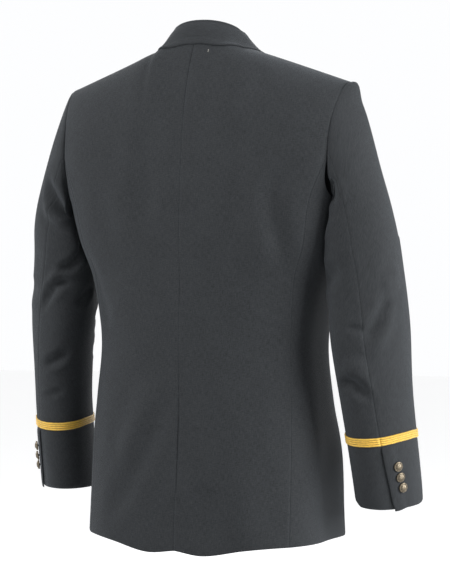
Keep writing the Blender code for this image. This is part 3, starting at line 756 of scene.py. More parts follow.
def cloth_mesh(name, points, surface, normals):
    """A mesh over the surface, facing along the normals, with its grain run along the flat points."""
    rows, columns = points.shape[:2]
    shape = bmesh.new()
    bmesh.ops.create_grid(shape, x_segments=columns - 1, y_segments=rows - 1, size=1)
    mesh = bpy.data.meshes.new(name)
    shape.to_mesh(mesh)
    shape.free()
    mesh.vertices.foreach_set("co", surface.reshape(-1))
    mesh.update()
    corner = surface[0, 0]
    face = np.cross(surface[0, 1] - corner, surface[1, 0] - corner)
    if face @ normals[0, 0] < 0:
        mesh.flip_normals()
    grain = np.stack([run_lengths(points, 1), run_lengths(points, 0)], axis=2).reshape(-1, 2)
    grain[:, 0] -= grain[:, 0].mean()
    corners = np.zeros(len(mesh.loops), dtype=int)
    mesh.loops.foreach_get("vertex_index", corners)
    layer = mesh.uv_layers.new(name="grain")
    layer.data.foreach_set("uv", grain[corners].reshape(-1))
    mesh.shade_smooth()
    return mesh


def declare_cut(points):
    """Measures a piece's flat cut along its own rows and columns; the measures are not used."""
    weft, warp = np.diff(points, axis=1)[:-1], np.diff(points, axis=0)[:, :-1]
    quads = np.linalg.norm(np.cross(weft, warp), axis=2)


def lay_cloth(name, node, points, material, thick, middle, lift, seams=UNSEWN, hangs_from=()):
    """Makes one cut piece of cloth from a grid of points, as a thin shell on its solid."""
    normals = outward_normals(points, middle)
    surface = tucked(points + normals * (np.zeros(points.shape[:2]) + lift)[:, :, None], seams)
    mesh = cloth_mesh(name, points, surface, normals)
    mesh.materials.append(material)
    piece = bpy.data.objects.new(name, mesh)
    bpy.context.scene.collection.objects.link(piece)
    wall = piece.modifiers.new("Cloth", "SOLIDIFY")
    wall.thickness = thick
    wall.offset = -1.0
    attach(piece, "root")
    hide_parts(node)
    if hangs_from:
        declare_cut(points)
    return piece


def as_laid(points):
    return points


def other_side(points):
    return points * np.array((-1.0, 1.0, 1.0))


def mirrored(point):
    return Vector((-point.x, point.y, point.z))


# Each side with its sign, which for the fronts says which laps over, and how the left's points reach it
SIDES = (("left", 1, as_laid), ("right", -1, other_side))

# Creases of the body by side: turn round the body and level at each station, depth and half-width
BODY_CREASES = {
    "left": (
        (((5, -0.120), (5, -0.190), (7, -0.275)), 0.0026, 0.017),
        (((17, -0.190), (17, -0.250), (15, -0.330)), -0.0016, 0.018),
        (((9, -0.500), (17, -0.575), (25, -0.650)), -0.0026, 0.020),
        (((3, -0.530), (13, -0.610), (24, -0.680), (38, -0.735)), 0.0030, 0.018),
        (((60, -0.300), (52, -0.380), (46, -0.440)), 0.0018, 0.014),
        (((120, -0.330), (138, -0.400), (156, -0.430)), 0.0024, 0.014),
        (((118, -0.230), (130, -0.300), (140, -0.350)), 0.0020, 0.016),
        (((128, -0.500), (126, -0.600), (124, -0.700)), 0.0030, 0.022),
    ),
    "right": (
        (((50, -0.125), (37, -0.175), (29, -0.215), (32, -0.255), (40, -0.300), (54, -0.360)), 0.0040, 0.015),
        (((14, -0.160), (22, -0.270), (36, -0.370)), -0.0020, 0.019),
        (((12, -0.020), (12, -0.060)), 0.0016, 0.015),
        (((8, -0.085), (8, -0.125)), -0.0012, 0.016),
        (((34, -0.418), (48, -0.428), (60, -0.432)), 0.0007, 0.0045),
        (((38, -0.398), (50, -0.408), (60, -0.412)), 0.0006, 0.0045),
        (((10, -0.660), (10, -0.700), (10, -0.765)), 0.0022, 0.020),
        (((30, -0.620), (30, -0.700), (30, -0.765)), -0.0022, 0.022),
        (((122, -0.320), (140, -0.410), (158, -0.436)), 0.0028, 0.013),
        (((116, -0.240), (128, -0.300), (142, -0.340)), 0.0018, 0.017),
        (((132, -0.520), (128, -0.610), (127, -0.710)), 0.0020, 0.020),
        (((108, -0.560), (109, -0.660), (110, -0.765), (111, -0.900)), -0.0040, 0.036),
    ),
}

# Creases of the sleeves by side: turn round the arm and way down at each station, depth and half-width
SLEEVE_CREASES = {
    "left": (
        (((64, 0.60), (92, 0.68), (116, 0.71), (148, 0.60)), 0.0038, 0.0095),
        (((80, 0.50), (110, 0.46), (144, 0.30)), -0.0006, 0.014),
        (((66, 0.78), (96, 0.82), (122, 0.86)), -0.0026, 0.010),
        (((100, 1.13), (126, 1.09), (158, 1.00)), 0.0040, 0.0075),
        (((76, 1.29), (92, 1.215), (108, 1.17), (134, 1.16)), 0.0036, 0.0072),
        (((90, 1.17), (106, 1.13), (128, 1.115)), -0.0022, 0.008),
        (((82, 1.49), (108, 1.465), (136, 1.42)), 0.0034, 0.0075),
        (((80, 1.61), (100, 1.60), (124, 1.58)), 0.0018, 0.0055),
        (((140, 1.26), (172, 1.18)), 0.0024, 0.007),
        (((190, 1.06), (222, 1.14), (250, 1.16)), 0.0034, 0.010),
        (((200, 1.34), (232, 1.27), (262, 1.30)), 0.0036, 0.010),
        (((206, 1.47), (236, 1.44), (262, 1.48)), 0.0024, 0.009),
        (((250, 0.20), (244, 0.52), (236, 0.84)), 0.0030, 0.011),
        (((20, 1.18), (40, 1.22), (62, 1.20)), 0.0014, 0.012),
    ),
    "right": (
        (((-36, 0.12), (-12, 0.10), (12, 0.10), (40, 0.13)), -0.0013, 0.014),
        (((72, 1.375), (58, 1.335), (44, 1.275), (34, 1.20)), 0.0018, 0.0090),
        (((62, 1.42), (44, 1.36), (28, 1.27)), -0.0010, 0.011),
        (((96, 1.315), (82, 1.325), (66, 1.335)), 0.0018, 0.0050),
        (((128, 1.53), (108, 1.515), (90, 1.53), (68, 1.58)), 0.0044, 0.0085),
        (((112, 1.46), (90, 1.455), (68, 1.49)), -0.0024, 0.011),
        (((122, 0.20), (116, 0.46), (108, 0.74)), 0.0034, 0.010),
        (((138, 0.50), (152, 0.72), (160, 0.98)), 0.0034, 0.012),
        (((104, 1.06), (122, 1.12), (146, 1.14)), 0.0022, 0.012),
        (((150, 1.28), (178, 1.22), (206, 1.24)), 0.0036, 0.010),
        (((196, 1.40), (226, 1.34), (256, 1.37)), 0.0034, 0.010),
        (((250, 0.24), (242, 0.56), (232, 0.88)), 0.0032, 0.011),
        (((8, 1.10), (24, 1.16), (44, 1.16)), -0.0012, 0.014),
    ),
}

# The size of the cloth's unevenness, and where in it each side lies
BODY_RUMPLE = 0.075
BODY_RUMPLE_AT = {"left": 3.1, "right": 8.4}
SLEEVE_RUMPLE = 0.055
SLEEVE_RUMPLE_AT = {"left": 1.7, "right": 6.2}
SLEEVE_UNEVEN = 1.2


def crease_depth(points, side, creases, surface, folds):
    """The depth of one side's creases, which lie on a surface given by two values."""
    def place(first, second):
        at = surface(first, second)
        return at if side == "left" else mirrored(at)

    depth = np.zeros(points.shape[:2])
    for path, deep, wide in creases[side]:
        depth += creased(points, crease_line(place, path), deep * folds, wide)
    return depth


def press_body(points, side, seams, crease_share=1.0):
    """The depth of creases, seams and unevenness over a piece of the body."""
    folds = bpy.context.scene.jacket_folds
    depth = crease_depth(points, side, BODY_CREASES, body, folds.body_folds)
    depth += folds.unevenness * rumpled(points, BODY_RUMPLE, BODY_RUMPLE_AT[side])
    return depth * crease_share + sewn_edges(points, seams)


def press_sleeve(points, side, seams):
    """The same over a piece of a sleeve."""
    folds = bpy.context.scene.jacket_folds
    depth = crease_depth(points, side, SLEEVE_CREASES, sleeve_base, folds.sleeve_folds)
    depth += folds.unevenness * SLEEVE_UNEVEN * rumpled(points, SLEEVE_RUMPLE, SLEEVE_RUMPLE_AT[side])
    return depth + sewn_edges(points, seams)


# Rows and columns of the cut pieces
BODY_LEVELS = [HEM + rise for rise in (0.0, 0.001, 0.003)] + steps(HEM + 0.008, SIDE_ROWS_FROM, 92)
TOP_STEPS = 9
BODY_COLUMNS = 40
SIDE_COLUMNS = 26
BACK_TOP_TURNS = steps(BACK_SEAM_TURN, 12, 32)[1:] + [9, 6, 4, 2, 0.8, 0]
FRONT_TOP_TURNS = steps(FRONT_SEAM_TURN, 348, 34)[1:] + [352, 355, 357, 358.6, 360]


def back_points():
    """The left back from the hem up, each row from the centre back seam to the side seam or armhole."""
    shares = fine_steps(BODY_COLUMNS)
    joint = armhole_level(BACK_SEAM_TURN)
    edges = [(level, side_share("back_seam", level))
             for level in BODY_LEVELS + steps(SIDE_ROWS_FROM, joint, TOP_STEPS)[1:]]
    edges += [(armhole_level(turn), armhole_share(turn)) for turn in BACK_TOP_TURNS]
    rows = []
    for level, edge in edges:
        def path(share):
            around = side_seam("back_seam", level) * share
            return body_at(edge * share, level + hem_drop(around, level), False)

        rows.append(spread(path, shares))
    return as_grid(rows)


def side_points():
    """The left side body from the hem up, each row from its back seam to its front seam."""
    turns = [mix(BACK_SEAM_TURN, FRONT_SEAM_TURN, share) for share in fine_steps(SIDE_COLUMNS)]
    ends = [ARMHOLE.at("body_turn", turn) for turn in turns]
    shares = [(end - ends[0]) / (ends[-1] - ends[0]) for end in ends]
    rows = []
    for row in range(len(BODY_LEVELS) + TOP_STEPS):
        points = []
        for turn, share in zip(turns, shares):
            if row < len(BODY_LEVELS):
                level = BODY_LEVELS[row]
            else:
                level = mix(SIDE_ROWS_FROM, armhole_level(turn), (row - len(BODY_LEVELS) + 1) / TOP_STEPS)
            around = mix(side_seam("back_seam", level), side_seam("front_seam", level), share)
            points.append(body(around, level + hem_drop(around, level)))
        rows.append(points)
    return as_grid(rows)


def front_points(side):
    """A front from the hem up, each row from the side seam or armhole to its free edge."""
    shares = fine_steps(BODY_COLUMNS)
    joint = armhole_level(FRONT_SEAM_TURN)
    edges = [(level, side_share("front_seam", level))
             for level in BODY_LEVELS + steps(SIDE_ROWS_FROM, joint, TOP_STEPS)[1:]]
    edges += [(armhole_level(turn), armhole_share(turn)) for turn in FRONT_TOP_TURNS]
    rows = []
    for level, edge in edges:
        inner = front_edge(level)

        def path(share):
            from_edge = (1 - share) * (BODY.at("half_width", level) * edge - inner)
            corner = CORNER_RADIUS - math.sqrt(
                CORNER_RADIUS ** 2 - max(0.0, CORNER_RADIUS - from_edge) ** 2)
            raised = corner * step((HEM + CORNER_FADE - level) / CORNER_FADE)
            around = mix(side_seam("front_seam", level), 180, share)
            height = level + hem_drop(around, level) + raised
            return front_at(mix(BODY.at("half_width", height) * edge, inner, share), height, 0.0, side)

        rows.append(spread(path, shares))
    return as_grid(rows)


# How far creases keep off the neck and shoulder seams, and off the closing edge and then fade in
NECK_SETTLED_OVER = 0.05
CLOSING_FLAT = 0.03
CLOSING_FADE = 0.06

BODY_MIDDLE = (0.0, 0.0, 0.0)
# Which edges are sewn: the first and last column, then the first and last row
JOINED = (1.0, 1.0, 0.0, 1.0)
CLOSING = (1.0, 0.0, 0.0, 1.0)


def neck_settled(points):
    """0 next to the neck and shoulder seams and 1 away from them, so that creases leave them alone."""
    top = run_lengths(points, 0)
    return smooth((top[-1:, :] - top) / NECK_SETTLED_OVER)


def closing_settled(points):
    """0 next to the closing edge, which lies flat, and 1 away from it."""
    across = run_lengths(points, 1)
    return smooth((across[:, -1:] - across - CLOSING_FLAT) / CLOSING_FADE)


def build_body():
    wool = bpy.data.materials["worsted"]
    thick = bpy.context.scene.jacket_cloth.thickness
    back, side = back_points(), side_points()
    for name, _sign, turned in SIDES:
        panel = turned(back)
        depth = press_body(panel, name, JOINED, neck_settled(panel))
        lay_cloth(f"cloth_back_{name}", f"back_{name}", panel, wool, thick, BODY_MIDDLE, -depth, JOINED,
                  [f"front_{name}"])
        panel = turned(side)
        depth = press_body(panel, name, JOINED)
        lay_cloth(f"cloth_side_{name}", f"side_{name}", panel, wool, thick, BODY_MIDDLE, -depth, JOINED,
                  [f"cloth_back_{name}"])
    for name, lap, turned in SIDES:
        panel = turned(front_points(lap))
        depth = press_body(panel, name, CLOSING, neck_settled(panel) * closing_settled(panel))
        lay_cloth(f"cloth_front_{name}", f"front_{name}", panel, wool, thick, BODY_MIDDLE, -depth, CLOSING,
                  [f"cloth_back_{name}"])


# A lapel's roll at the break: out from the roll line and off the front
LAPEL_ROLL = Table(
    "way   out      lift",
    (0.00, -0.0015, -0.0010),
    (0.33, -0.0024, 0.0006),
    (0.66, -0.0016, 0.0024),
    (1.00, 0.0008, 0.0040),
)
# Its rows from the break to the gorge, its lift at the roll and the edge, and how it bellies between
LAPEL_ROWS = steps(0.03, 0.995, 54)
LAPEL_COLUMNS = steps(0.06, 1.0, 24)
LAPEL_TURNS_FROM = 0.4
LAPEL_ROLL_LIFT = 0.0042
LAPEL_EDGE_LIFT = 0.0024
LAPEL_BELLY = 0.0016
LAPEL_THICKER = 1.1
BEHIND_LAPELS = (0.0, 0.4, 0.0)
LAPEL_UNEVEN = 0.0005
LAPEL_RUMPLE = 0.05
LAPEL_RUMPLE_AT = 4.5
# How deep the lapel's gorge edge and the collar's neck edge turn in
LAPEL_SEAMS = (0.0, 0.0, 0.0, 0.6)
COLLAR_SEAMS = (0.5, 0.0, 0.0, 0.0)


def lapel_points(side):
    """A lapel's rows from the break up, each over its roll and out to its edge."""
    roll_angle = math.atan2(GORGE_LEVEL - BREAK_LEVEL, GORGE_HALF + LAP)
    rows = []
    for share in LAPEL_ROWS:
        level = mix(BREAK_LEVEL, GORGE_LEVEL, share)
        start = front_edge(level)
        # square to the roll line low down, along the gorge above
        turned = step(share * (1 + LAPEL_TURNS_FROM) - LAPEL_TURNS_FROM)
        way = mix(roll_angle - math.pi / 2, GORGE_SLOPE, turned)
        width = LAPEL.at("width", share)
        points = [front_at(start + LAPEL_ROLL.at("out", at), level, LAPEL_ROLL.at("lift", at), side)
                  for at in steps(0, 1, 7)]
        for across in LAPEL_COLUMNS:
            reach = width * across
            belly = LAPEL_BELLY * math.sin(math.pi * across) * (1 - share)
            lift = mix(LAPEL_ROLL_LIFT, LAPEL_EDGE_LIFT, across) + belly
            points.append(front_at(start + reach * math.cos(way), level + reach * math.sin(way), lift, side))
        rows.append(points)
    return as_grid(rows)


# The collar stands on the neck seam a little up and in from it; its fall leaves the fold outwards and down
COLLAR_BASE_UP = 0.0014
COLLAR_BASE_IN = 0.0008
FALL_LEAVES = 0.8
FALL_ARRIVES = 0.6
FALL_ARRIVES_FROM_FOLD = 0.4
COLLAR_UNEVEN = 0.0004
COLLAR_RUMPLE = 0.06
COLLAR_RUMPLE_AT = 2.2


def collar_points():
    """Sections of the whole collar from its right front end round the neck to the left."""
    shares = steps(0, NECK_POINT_SHARE, 26) + steps(NECK_POINT_SHARE, COLLAR_TIP_SHARE, 20)[1:]
    shares += steps(COLLAR_TIP_SHARE, 1, 10)[1:]
    left = []
    for share in shares:
        seam, edge = neck_seam(share), collar_edge(share)
        run = neck_seam(min(share + 0.01, 1.0)) - neck_seam(max(share - 0.01, 0.0))
        outward = Vector((-run.y, run.x, 0)).normalized() if share else Vector((0, 1, 0))
        roll = COLLAR.at("roll", share)
        fold = seam + Vector((0, 0, COLLAR.at("stand", share))) - outward * COLLAR.at("inward", share)
        base = seam + Vector((0, 0, COLLAR_BASE_UP)) - outward * COLLAR_BASE_IN
        inner = fold - outward * roll
        section = [base.lerp(inner, at) for at in steps(0, 1, 7)]
        for angle in steps(0, math.pi, 8)[1:]:
            over = Vector((0, 0, roll)) * math.sin(angle)
            section.append(fold - outward * roll * math.cos(angle) + over)
        outer = section[-1]
        fall = (edge - outer).length
        leave = (Vector((0, 0, -FALL_LEAVES)) + outward * FALL_LEAVES) * fall
        arrive = (edge - seam).normalized() * fall * FALL_ARRIVES + (edge - fold) * FALL_ARRIVES_FROM_FOLD
        for part in steps(0, 1, 16)[1:]:
            section.append(kept_off(eased(part, outer, leave, edge, arrive), COLLAR_LIFT))
        left.append(section)
    right = [[mirrored(point) for point in section] for section in left[1:]]
    return as_grid(right[::-1] + left)


def build_collar_and_lapels():
    wool = bpy.data.materials["worsted"]
    thick = bpy.context.scene.jacket_cloth.thickness * LAPEL_THICKER
    for name, lap, turned in SIDES:
        panel = turned(lapel_points(lap))
        depth = LAPEL_UNEVEN * rumpled(panel, LAPEL_RUMPLE, LAPEL_RUMPLE_AT) + sewn_edges(panel, LAPEL_SEAMS)
        lay_cloth(f"cloth_lapel_{name}", f"lapel_{name}", panel, wool, thick, BEHIND_LAPELS, -depth, UNSEWN,
                  [f"cloth_front_{name}"])
    panel = collar_points()
    uneven = COLLAR_UNEVEN * rumpled(panel, COLLAR_RUMPLE, COLLAR_RUMPLE_AT)
    depth = uneven + sewn_edges(panel, COLLAR_SEAMS)
    normals = outward_normals(panel, BODY_MIDDLE)
    # the fall faces outwards, so the stand inside the fold faces the neck
    facing = 1.0 if normals[len(panel) // 2, -4, 1] > 0 else -1.0
    lay_cloth("cloth_collar", "collar", panel, wool, thick, BODY_MIDDLE, -depth * facing, UNSEWN,
              ["cloth_back_left", "cloth_back_right"])


# Rows down the sleeve and turns across its two pieces
SLEEVE_ROWS = (steps(0, 0.03, 3) + steps(0.05, 1, 40) + steps(1, VENT_ALONG - 0.03, 66)[1:]
               + steps(VENT_ALONG - 0.02, 1.985, 24) + [1.992, 1.997, 2.0])
TOP_COLUMNS = 48
UNDER_COLUMNS = 26
ARM_OUT = 0.262


def sleeve_points(under, side, rows=SLEEVE_ROWS):
    """Rows of a top or under sleeve from the armhole down, as on the left, with the lift of each point."""
    shares = fine_steps(UNDER_COLUMNS if under else TOP_COLUMNS)
    points, lifts = [], []
    for along in rows:
        row, row_lift = [], []
        for share in shares:
            turn = sleeve_turn(along, share, under)
            if under:
                turn -= VENT_LAP_TURN * vent_share(along) * max(0.0, 1 - share / UNDER_LAP_SHARE)
                lift = -UNDER_SUNK * vent_share(along) * max(0.0, 1 - share / UNDER_SUNK_SHARE)
                lower = 0.0
            else:
                near = SLEEVE_SEAMS.at("hind", along) - turn
                lift = vent_lift(along, near)
                tip = step((along - VENT_TIP_FROM) / (2 - VENT_TIP_FROM))
                lower = VENT_TIP * tip * (1 - step(near / VENT_TIP_TURN))
            row.append(sleeve_base(turn, cuff_along(turn, along, side) + lower / CUFF_LENGTH))
            row_lift.append(lift)
        points.append(row)
        lifts.append(row_lift)
    return as_grid(points), np.array(lifts)


def sleeve_edges(under):
    """How deep the sleeve's seams turn in, as shares; the vent's own edge isn't sewn."""
    sewn = np.array([1.0 - smooth((along - VENT_ALONG) / VENT_SEAM_FADE) for along in SLEEVE_ROWS])[:, None]
    whole = np.ones_like(sewn)
    return (sewn, whole, 1.0, 0.0) if under else (whole, sewn, 1.0, 0.0)


def build_sleeves():
    wool = bpy.data.materials["worsted"]
    thick = bpy.context.scene.jacket_cloth.thickness
    for label, under in (("top", False), ("under", True)):
        seams = sleeve_edges(under)
        for name, sign, turned in SIDES:
            base, lifts = sleeve_points(under, name)
            panel = turned(base)
            depth = press_sleeve(panel, name, seams)
            lay_cloth(f"cloth_sleeve_{label}_{name}", f"sleeve_{label}_{name}", panel, wool, thick,
                      (sign * ARM_OUT, 0.0, 0.0), lifts - depth, seams, [f"cloth_back_{name}"])


# The braid's lengthwise ribs and rounded edges, its wavy lie, and how it is caught down at the seams
BRAID_ROWS = steps(BRAID_TOP_ALONG, BRAID_LOW_ALONG, 40)
BRAID_RIBS = 4
RIB_SHARPNESS = 0.6
BETWEEN_RIBS = 0.45
BRAID_EDGE = 0.06
BRAID_WAVE = 0.00018
BRAID_WAVES = 420.0
BRAID_CAUGHT_OVER = 0.0022
BRAID_CAUGHT = 0.7
BRAID_LAYER = 0.0009
BRAID_CREASED = 0.9
BRAID_SEAMS = (1.0, 1.0, None, None)


def build_braid():
    gold = bpy.data.materials["ribbed_braid"]
    look = bpy.context.scene.jacket_braid
    ways = np.linspace(0.0, 1.0, len(BRAID_ROWS))[:, None]
    ribs = np.abs(np.sin(np.pi * ways * BRAID_RIBS)) ** RIB_SHARPNESS
    rounded = smooth(np.minimum(ways, 1 - ways) / BRAID_EDGE)
    for label, under in (("top", False), ("under", True)):
        for name, sign, turned in SIDES:
            base, lifts = sleeve_points(under, name, BRAID_ROWS)
            panel = turned(base)
            depth = press_sleeve(panel, name, BRAID_SEAMS)
            across = run_lengths(panel, 1)
            caught = sum(np.exp(-(off / BRAID_CAUGHT_OVER) ** 2) for off in (across, across[:, -1:] - across))
            wound = BRAID_THICK * mix(BETWEEN_RIBS, 1.0, ribs) * rounded
            wave = BRAID_WAVE * np.sin(across * BRAID_WAVES)
            height = REST_GAP + (wound + wave) * (1 - BRAID_CAUGHT * caught)
            height += look.rib_height * ribs * rounded
            lift = lifts - depth * BRAID_CREASED + height
            piece = lay_cloth(f"braid_{label}_{name}_wound", f"braid_{label}_{name}", panel, gold,
                              BRAID_LAYER, (sign * ARM_OUT, 0.0, 0.0), lift)


# A button's section from the middle out, as shares of its radius, and heights above the cloth
BUTTON_SECTION = (
    (0.00, 0.0064), (0.12, 0.0064), (0.26, 0.0062), (0.42, 0.0058), (0.58, 0.0053), (0.70, 0.0047),
    (0.76, 0.0043), (0.80, 0.0041), (0.84, 0.0043), (0.90, 0.0043), (0.96, 0.0040), (1.00, 0.0034),
    (1.00, 0.0022), (0.95, 0.0014), (0.24, 0.0013), (0.24, 0.0004), (0.00, 0.0004),
)
BUTTON_TURNS = 72
# The flutes of the dome: how many, how high, and between which shares of the radius
FLUTES = 8
FLUTE_HEIGHT = 0.00022
FLUTES_FROM = 0.10
FLUTES_TO = 0.78
DOME_ABOVE = 0.0040
ASKEW = math.radians(5)
OUTWARD_REACH = 0.01
# A turn and a way down the sleeve are scaled so that equal reaches cover like lengths
TURN_SCALE = 60
ALONG_SCALE = 2
SLEEVE_REACH = 0.004


def button_mesh(name, radius):
    """A domed button turned about +Z, with plain radial flutes on its dome and a rolled rim."""
    shape = bmesh.new()
    verts = [shape.verts.new((out * radius, 0.0, height)) for out, height in BUTTON_SECTION]
    edges = [shape.edges.new(pair) for pair in zip(verts, verts[1:])]
    bmesh.ops.spin(shape, geom=verts + edges, axis=(0, 0, 1), cent=(0, 0, 0),
                   angle=math.tau, steps=BUTTON_TURNS, use_merge=True)
    bmesh.ops.remove_doubles(shape, verts=shape.verts, dist=1e-6)
    bmesh.ops.recalc_face_normals(shape, faces=shape.faces)
    layer = shape.loops.layers.uv.new("turned")
    for face in shape.faces:
        centre = face.calc_center_median()
        around = math.atan2(centre.y, centre.x) / math.tau
        for loop in face.loops:
            at = loop.vert.co
            turn = math.atan2(at.y, at.x) / math.tau
            turn += round(around - turn)
            loop[layer].uv = (turn, math.hypot(at.x, at.y) / radius)
    for vert in shape.verts:
        out = math.hypot(vert.co.x, vert.co.y) / radius
        if vert.co.z > DOME_ABOVE and FLUTES_FROM < out < FLUTES_TO:
            flute = math.cos(FLUTES * math.atan2(vert.co.y, vert.co.x))
            fade = math.sin(math.pi * (out - FLUTES_FROM) / (FLUTES_TO - FLUTES_FROM))
            vert.co.z += FLUTE_HEIGHT * flute * fade
    mesh = bpy.data.meshes.new(name)
    shape.to_mesh(mesh)
    shape.free()
    mesh.shade_smooth()
    mesh.materials.append(bpy.data.materials["rubbed_brass"])
    return mesh


def place_button(name, node, mesh, at, outward, lean=0.0):
    button = bpy.data.objects.new(name, mesh)
    bpy.context.scene.collection.objects.link(button)
    turn = outward.to_track_quat("Z", "Y").to_matrix().to_4x4()
    button.matrix_world = Matrix.Translation(at) @ turn @ Matrix.Rotation(lean, 4, "X")
    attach(button, "root")
    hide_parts(node)


def sleeve_outer(turn, along, lift):
    """A point lifted off the sleeve."""
    def base(first, second):
        return sleeve_base(first * TURN_SCALE, second * ALONG_SCALE)

    inward = normal_of(base, turn / TURN_SCALE, along / ALONG_SCALE, SLEEVE_REACH)
    return sleeve_base(turn, along) - inward * lift


def build_buttons():
    mesh = button_mesh("front_button_domed", FRONT_BUTTON_RADIUS)
    for i in range(FRONT_BUTTONS):
        level = FRONT_BUTTON_TOP - i * FRONT_BUTTON_STEP
        at = front_at(0.0, level, REST_GAP, 1)
        outward = front_at(0.0, level, OUTWARD_REACH, 1) - at
        place_button(f"domed_front_button_{i + 1}", f"front_button_{i + 1}", mesh, at, outward)
    mesh = button_mesh("cuff_button_domed", CUFF_BUTTON_RADIUS)
    for i in range(CUFF_BUTTONS):
        along = 2 - (CUFF_BUTTON_LOW + i * CUFF_BUTTON_STEP) / CUFF_LENGTH
        near = turn_across(CUFF_BUTTON_IN, along)
        turn = SLEEVE_SEAMS.at("hind", along) - near
        lift = vent_lift(along, near) + REST_GAP
        at = sleeve_outer(turn, along, lift)
        outward = at - sleeve_outer(turn, along, lift - OUTWARD_REACH)
        # the middle one hangs a little askew on its thread
        lean = ASKEW if i == 1 else 0.0
        for name, place, facing in (("left", at, outward), ("right", mirrored(at), mirrored(outward))):
            place_button(f"domed_cuff_button_{name}_{i + 1}", f"cuff_button_{name}_{i + 1}", mesh,
                         place, facing, lean)


class Wire:
    """A value on its way through a material; sums and products of wires add the nodes they need."""

    def __init__(self, tree, socket):
        self.tree = tree
        self.socket = socket

    def math(self, operation, *others):
        values = dict(enumerate((self, *others)))
        return make_node(self.tree, "ShaderNodeMath", {"operation": operation}, values)

    def __add__(self, other):
        return self.math("ADD", other)

    __radd__ = __add__

    def __mul__(self, other):
        return self.math("MULTIPLY", other)

    __rmul__ = __mul__

    def __sub__(self, other):
        return self.math("SUBTRACT", other)

    def __rsub__(self, other):
        return make_node(self.tree, "ShaderNodeMath", {"operation": "SUBTRACT"}, {0: other, 1: self})

    def wave(self):
        return self.math("SINE")

    def size(self):
        return self.math("ABSOLUTE")

    def clamped(self):
        return make_node(self.tree, "ShaderNodeClamp", {}, {0: self})

    def output(self, which):
        """Another output of the node that this wire comes from."""
        return Wire(self.tree, self.socket.node.outputs[which])


def set_stops(elements, stops):
    """Sets a ramp's grey stops, given as places and values with both ends first."""
    for element, (place, value) in zip(elements, stops[:2]):
        element.position = place
        element.color = (value, value, value, 1)
    for place, value in stops[2:]:
        elements.new(place).color = (value, value, value, 1)


def make_node(tree, kind, settings, values, out=0):
    """Adds a node with its settings and the values or links of its sockets, and returns an output."""
    node = tree.nodes.new(kind)
    for name, value in settings.items():
        if name == "stops":
            set_stops(node.color_ramp.elements, value)
        else:
            setattr(node, name, value)
    for key, value in values.items():
        if isinstance(value, Wire):
            tree.links.new(value.socket, node.inputs[key])
        else:
            node.inputs[key].default_value = value
    return Wire(tree, node.outputs[out])


def blended(tree, share, first, second):
    """A colour between two; share is a wire, and a colour is four numbers or a wire."""
    return make_node(tree, "ShaderNodeMix", {"data_type": "RGBA"}, {0: share, 6: first, 7: second}, 2)


def grain_of(tree, layer):
    """The place on a laid-out layer, and its two parts."""
    place = make_node(tree, "ShaderNodeUVMap", {"uv_map": layer}, {})
    first = make_node(tree, "ShaderNodeSeparateXYZ", {}, {0: place})
    return place, first, first.output(1)


def object_place(tree):
    return make_node(tree, "ShaderNodeTexCoord", {}, {}, "Object")


EVEN = (1.0, 1.0, 1.0)


def mottle(tree, place, stretch, scale, detail=2.0, roughness=0.55):
    """Noise from 0 to 1; stretch draws it out along warp or weft."""
    drawn = make_node(tree, "ShaderNodeVectorMath", {"operation": "MULTIPLY"}, {0: place, 1: stretch})
    return make_node(tree, "ShaderNodeTexNoise", {}, {
        "Vector": drawn, "Scale": scale, "Detail": detail, "Roughness": roughness})


def tinted(colour, share):
    return tuple(min(channel * share, 1.0) for channel in colour) + (1.0,)


def new_finish(name, **constants):
    """A material of that name with constants on its shader's sockets; returns its nodes and the shader."""
    material = bpy.data.materials.new(name)
    material.use_nodes = True
    tree = material.node_tree
    shader = tree.nodes["Principled BSDF"]
    for socket, value in constants.items():
        shader.inputs[socket.replace("_", " ")].default_value = value
    return tree, shader


def feed(tree, shader, socket, wire):
    tree.links.new(wire.socket, shader.inputs[socket])


def raised(tree, height, distance, strength):
    return make_node(tree, "ShaderNodeBump", {}, {
        "Strength": strength, "Distance": distance, "Height": height})


def shaded(tree, tone, colour, dark, light):
    """A colour that runs from a darker to a lighter share of itself."""
    return blended(tree, tone, tinted(colour, dark), tinted(colour, light))


NAP_TINT = (0.82, 0.90, 1.0, 1.0)


def wool_finish():
    """Dark worsted: a fine plain weave with slubs, a short nap and a slight cloudiness."""
    look = bpy.context.scene.jacket_cloth
    tree, shader = new_finish(
        "worsted", Metallic=0.0, Sheen_Weight=look.sheen, Sheen_Roughness=0.45,
        Sheen_Tint=NAP_TINT, Specular_IOR_Level=0.2)
    place, across, along = grain_of(tree, "grain")
    pitch = math.tau / look.weave_pitch
    warp = (across * pitch).wave()
    weft = (along * pitch).wave()
    weave = warp * weft
    slub_weft = mottle(tree, place, (0.16, 1.0, 1.0), 900.0)
    slub_warp = mottle(tree, place, (1.0, 0.12, 1.0), 900.0)
    fleck = mottle(tree, place, EVEN, 620.0, 3.0, 0.7)
    cloud = mottle(tree, place, (1.0, 0.6, 1.0), 26.0, 3.0)
    tone = ((slub_weft + slub_warp - 1.0) * 1.5 + (fleck - 0.5) * 1.8 + (cloud - 0.5) * 0.45
            + weave * 0.12 + 0.5).clamped()
    feed(tree, shader, "Base Color", shaded(tree, tone, look.colour, 0.66, 1.36))
    feed(tree, shader, "Roughness", 0.80 + (fleck - 0.5) * 0.16)
    height = weave * 0.5 + (slub_weft + slub_warp) * 0.6 + fleck * 0.5
    feed(tree, shader, "Normal", raised(tree, height, 0.00030, 0.55))


THREAD_SLOPE = 0.9


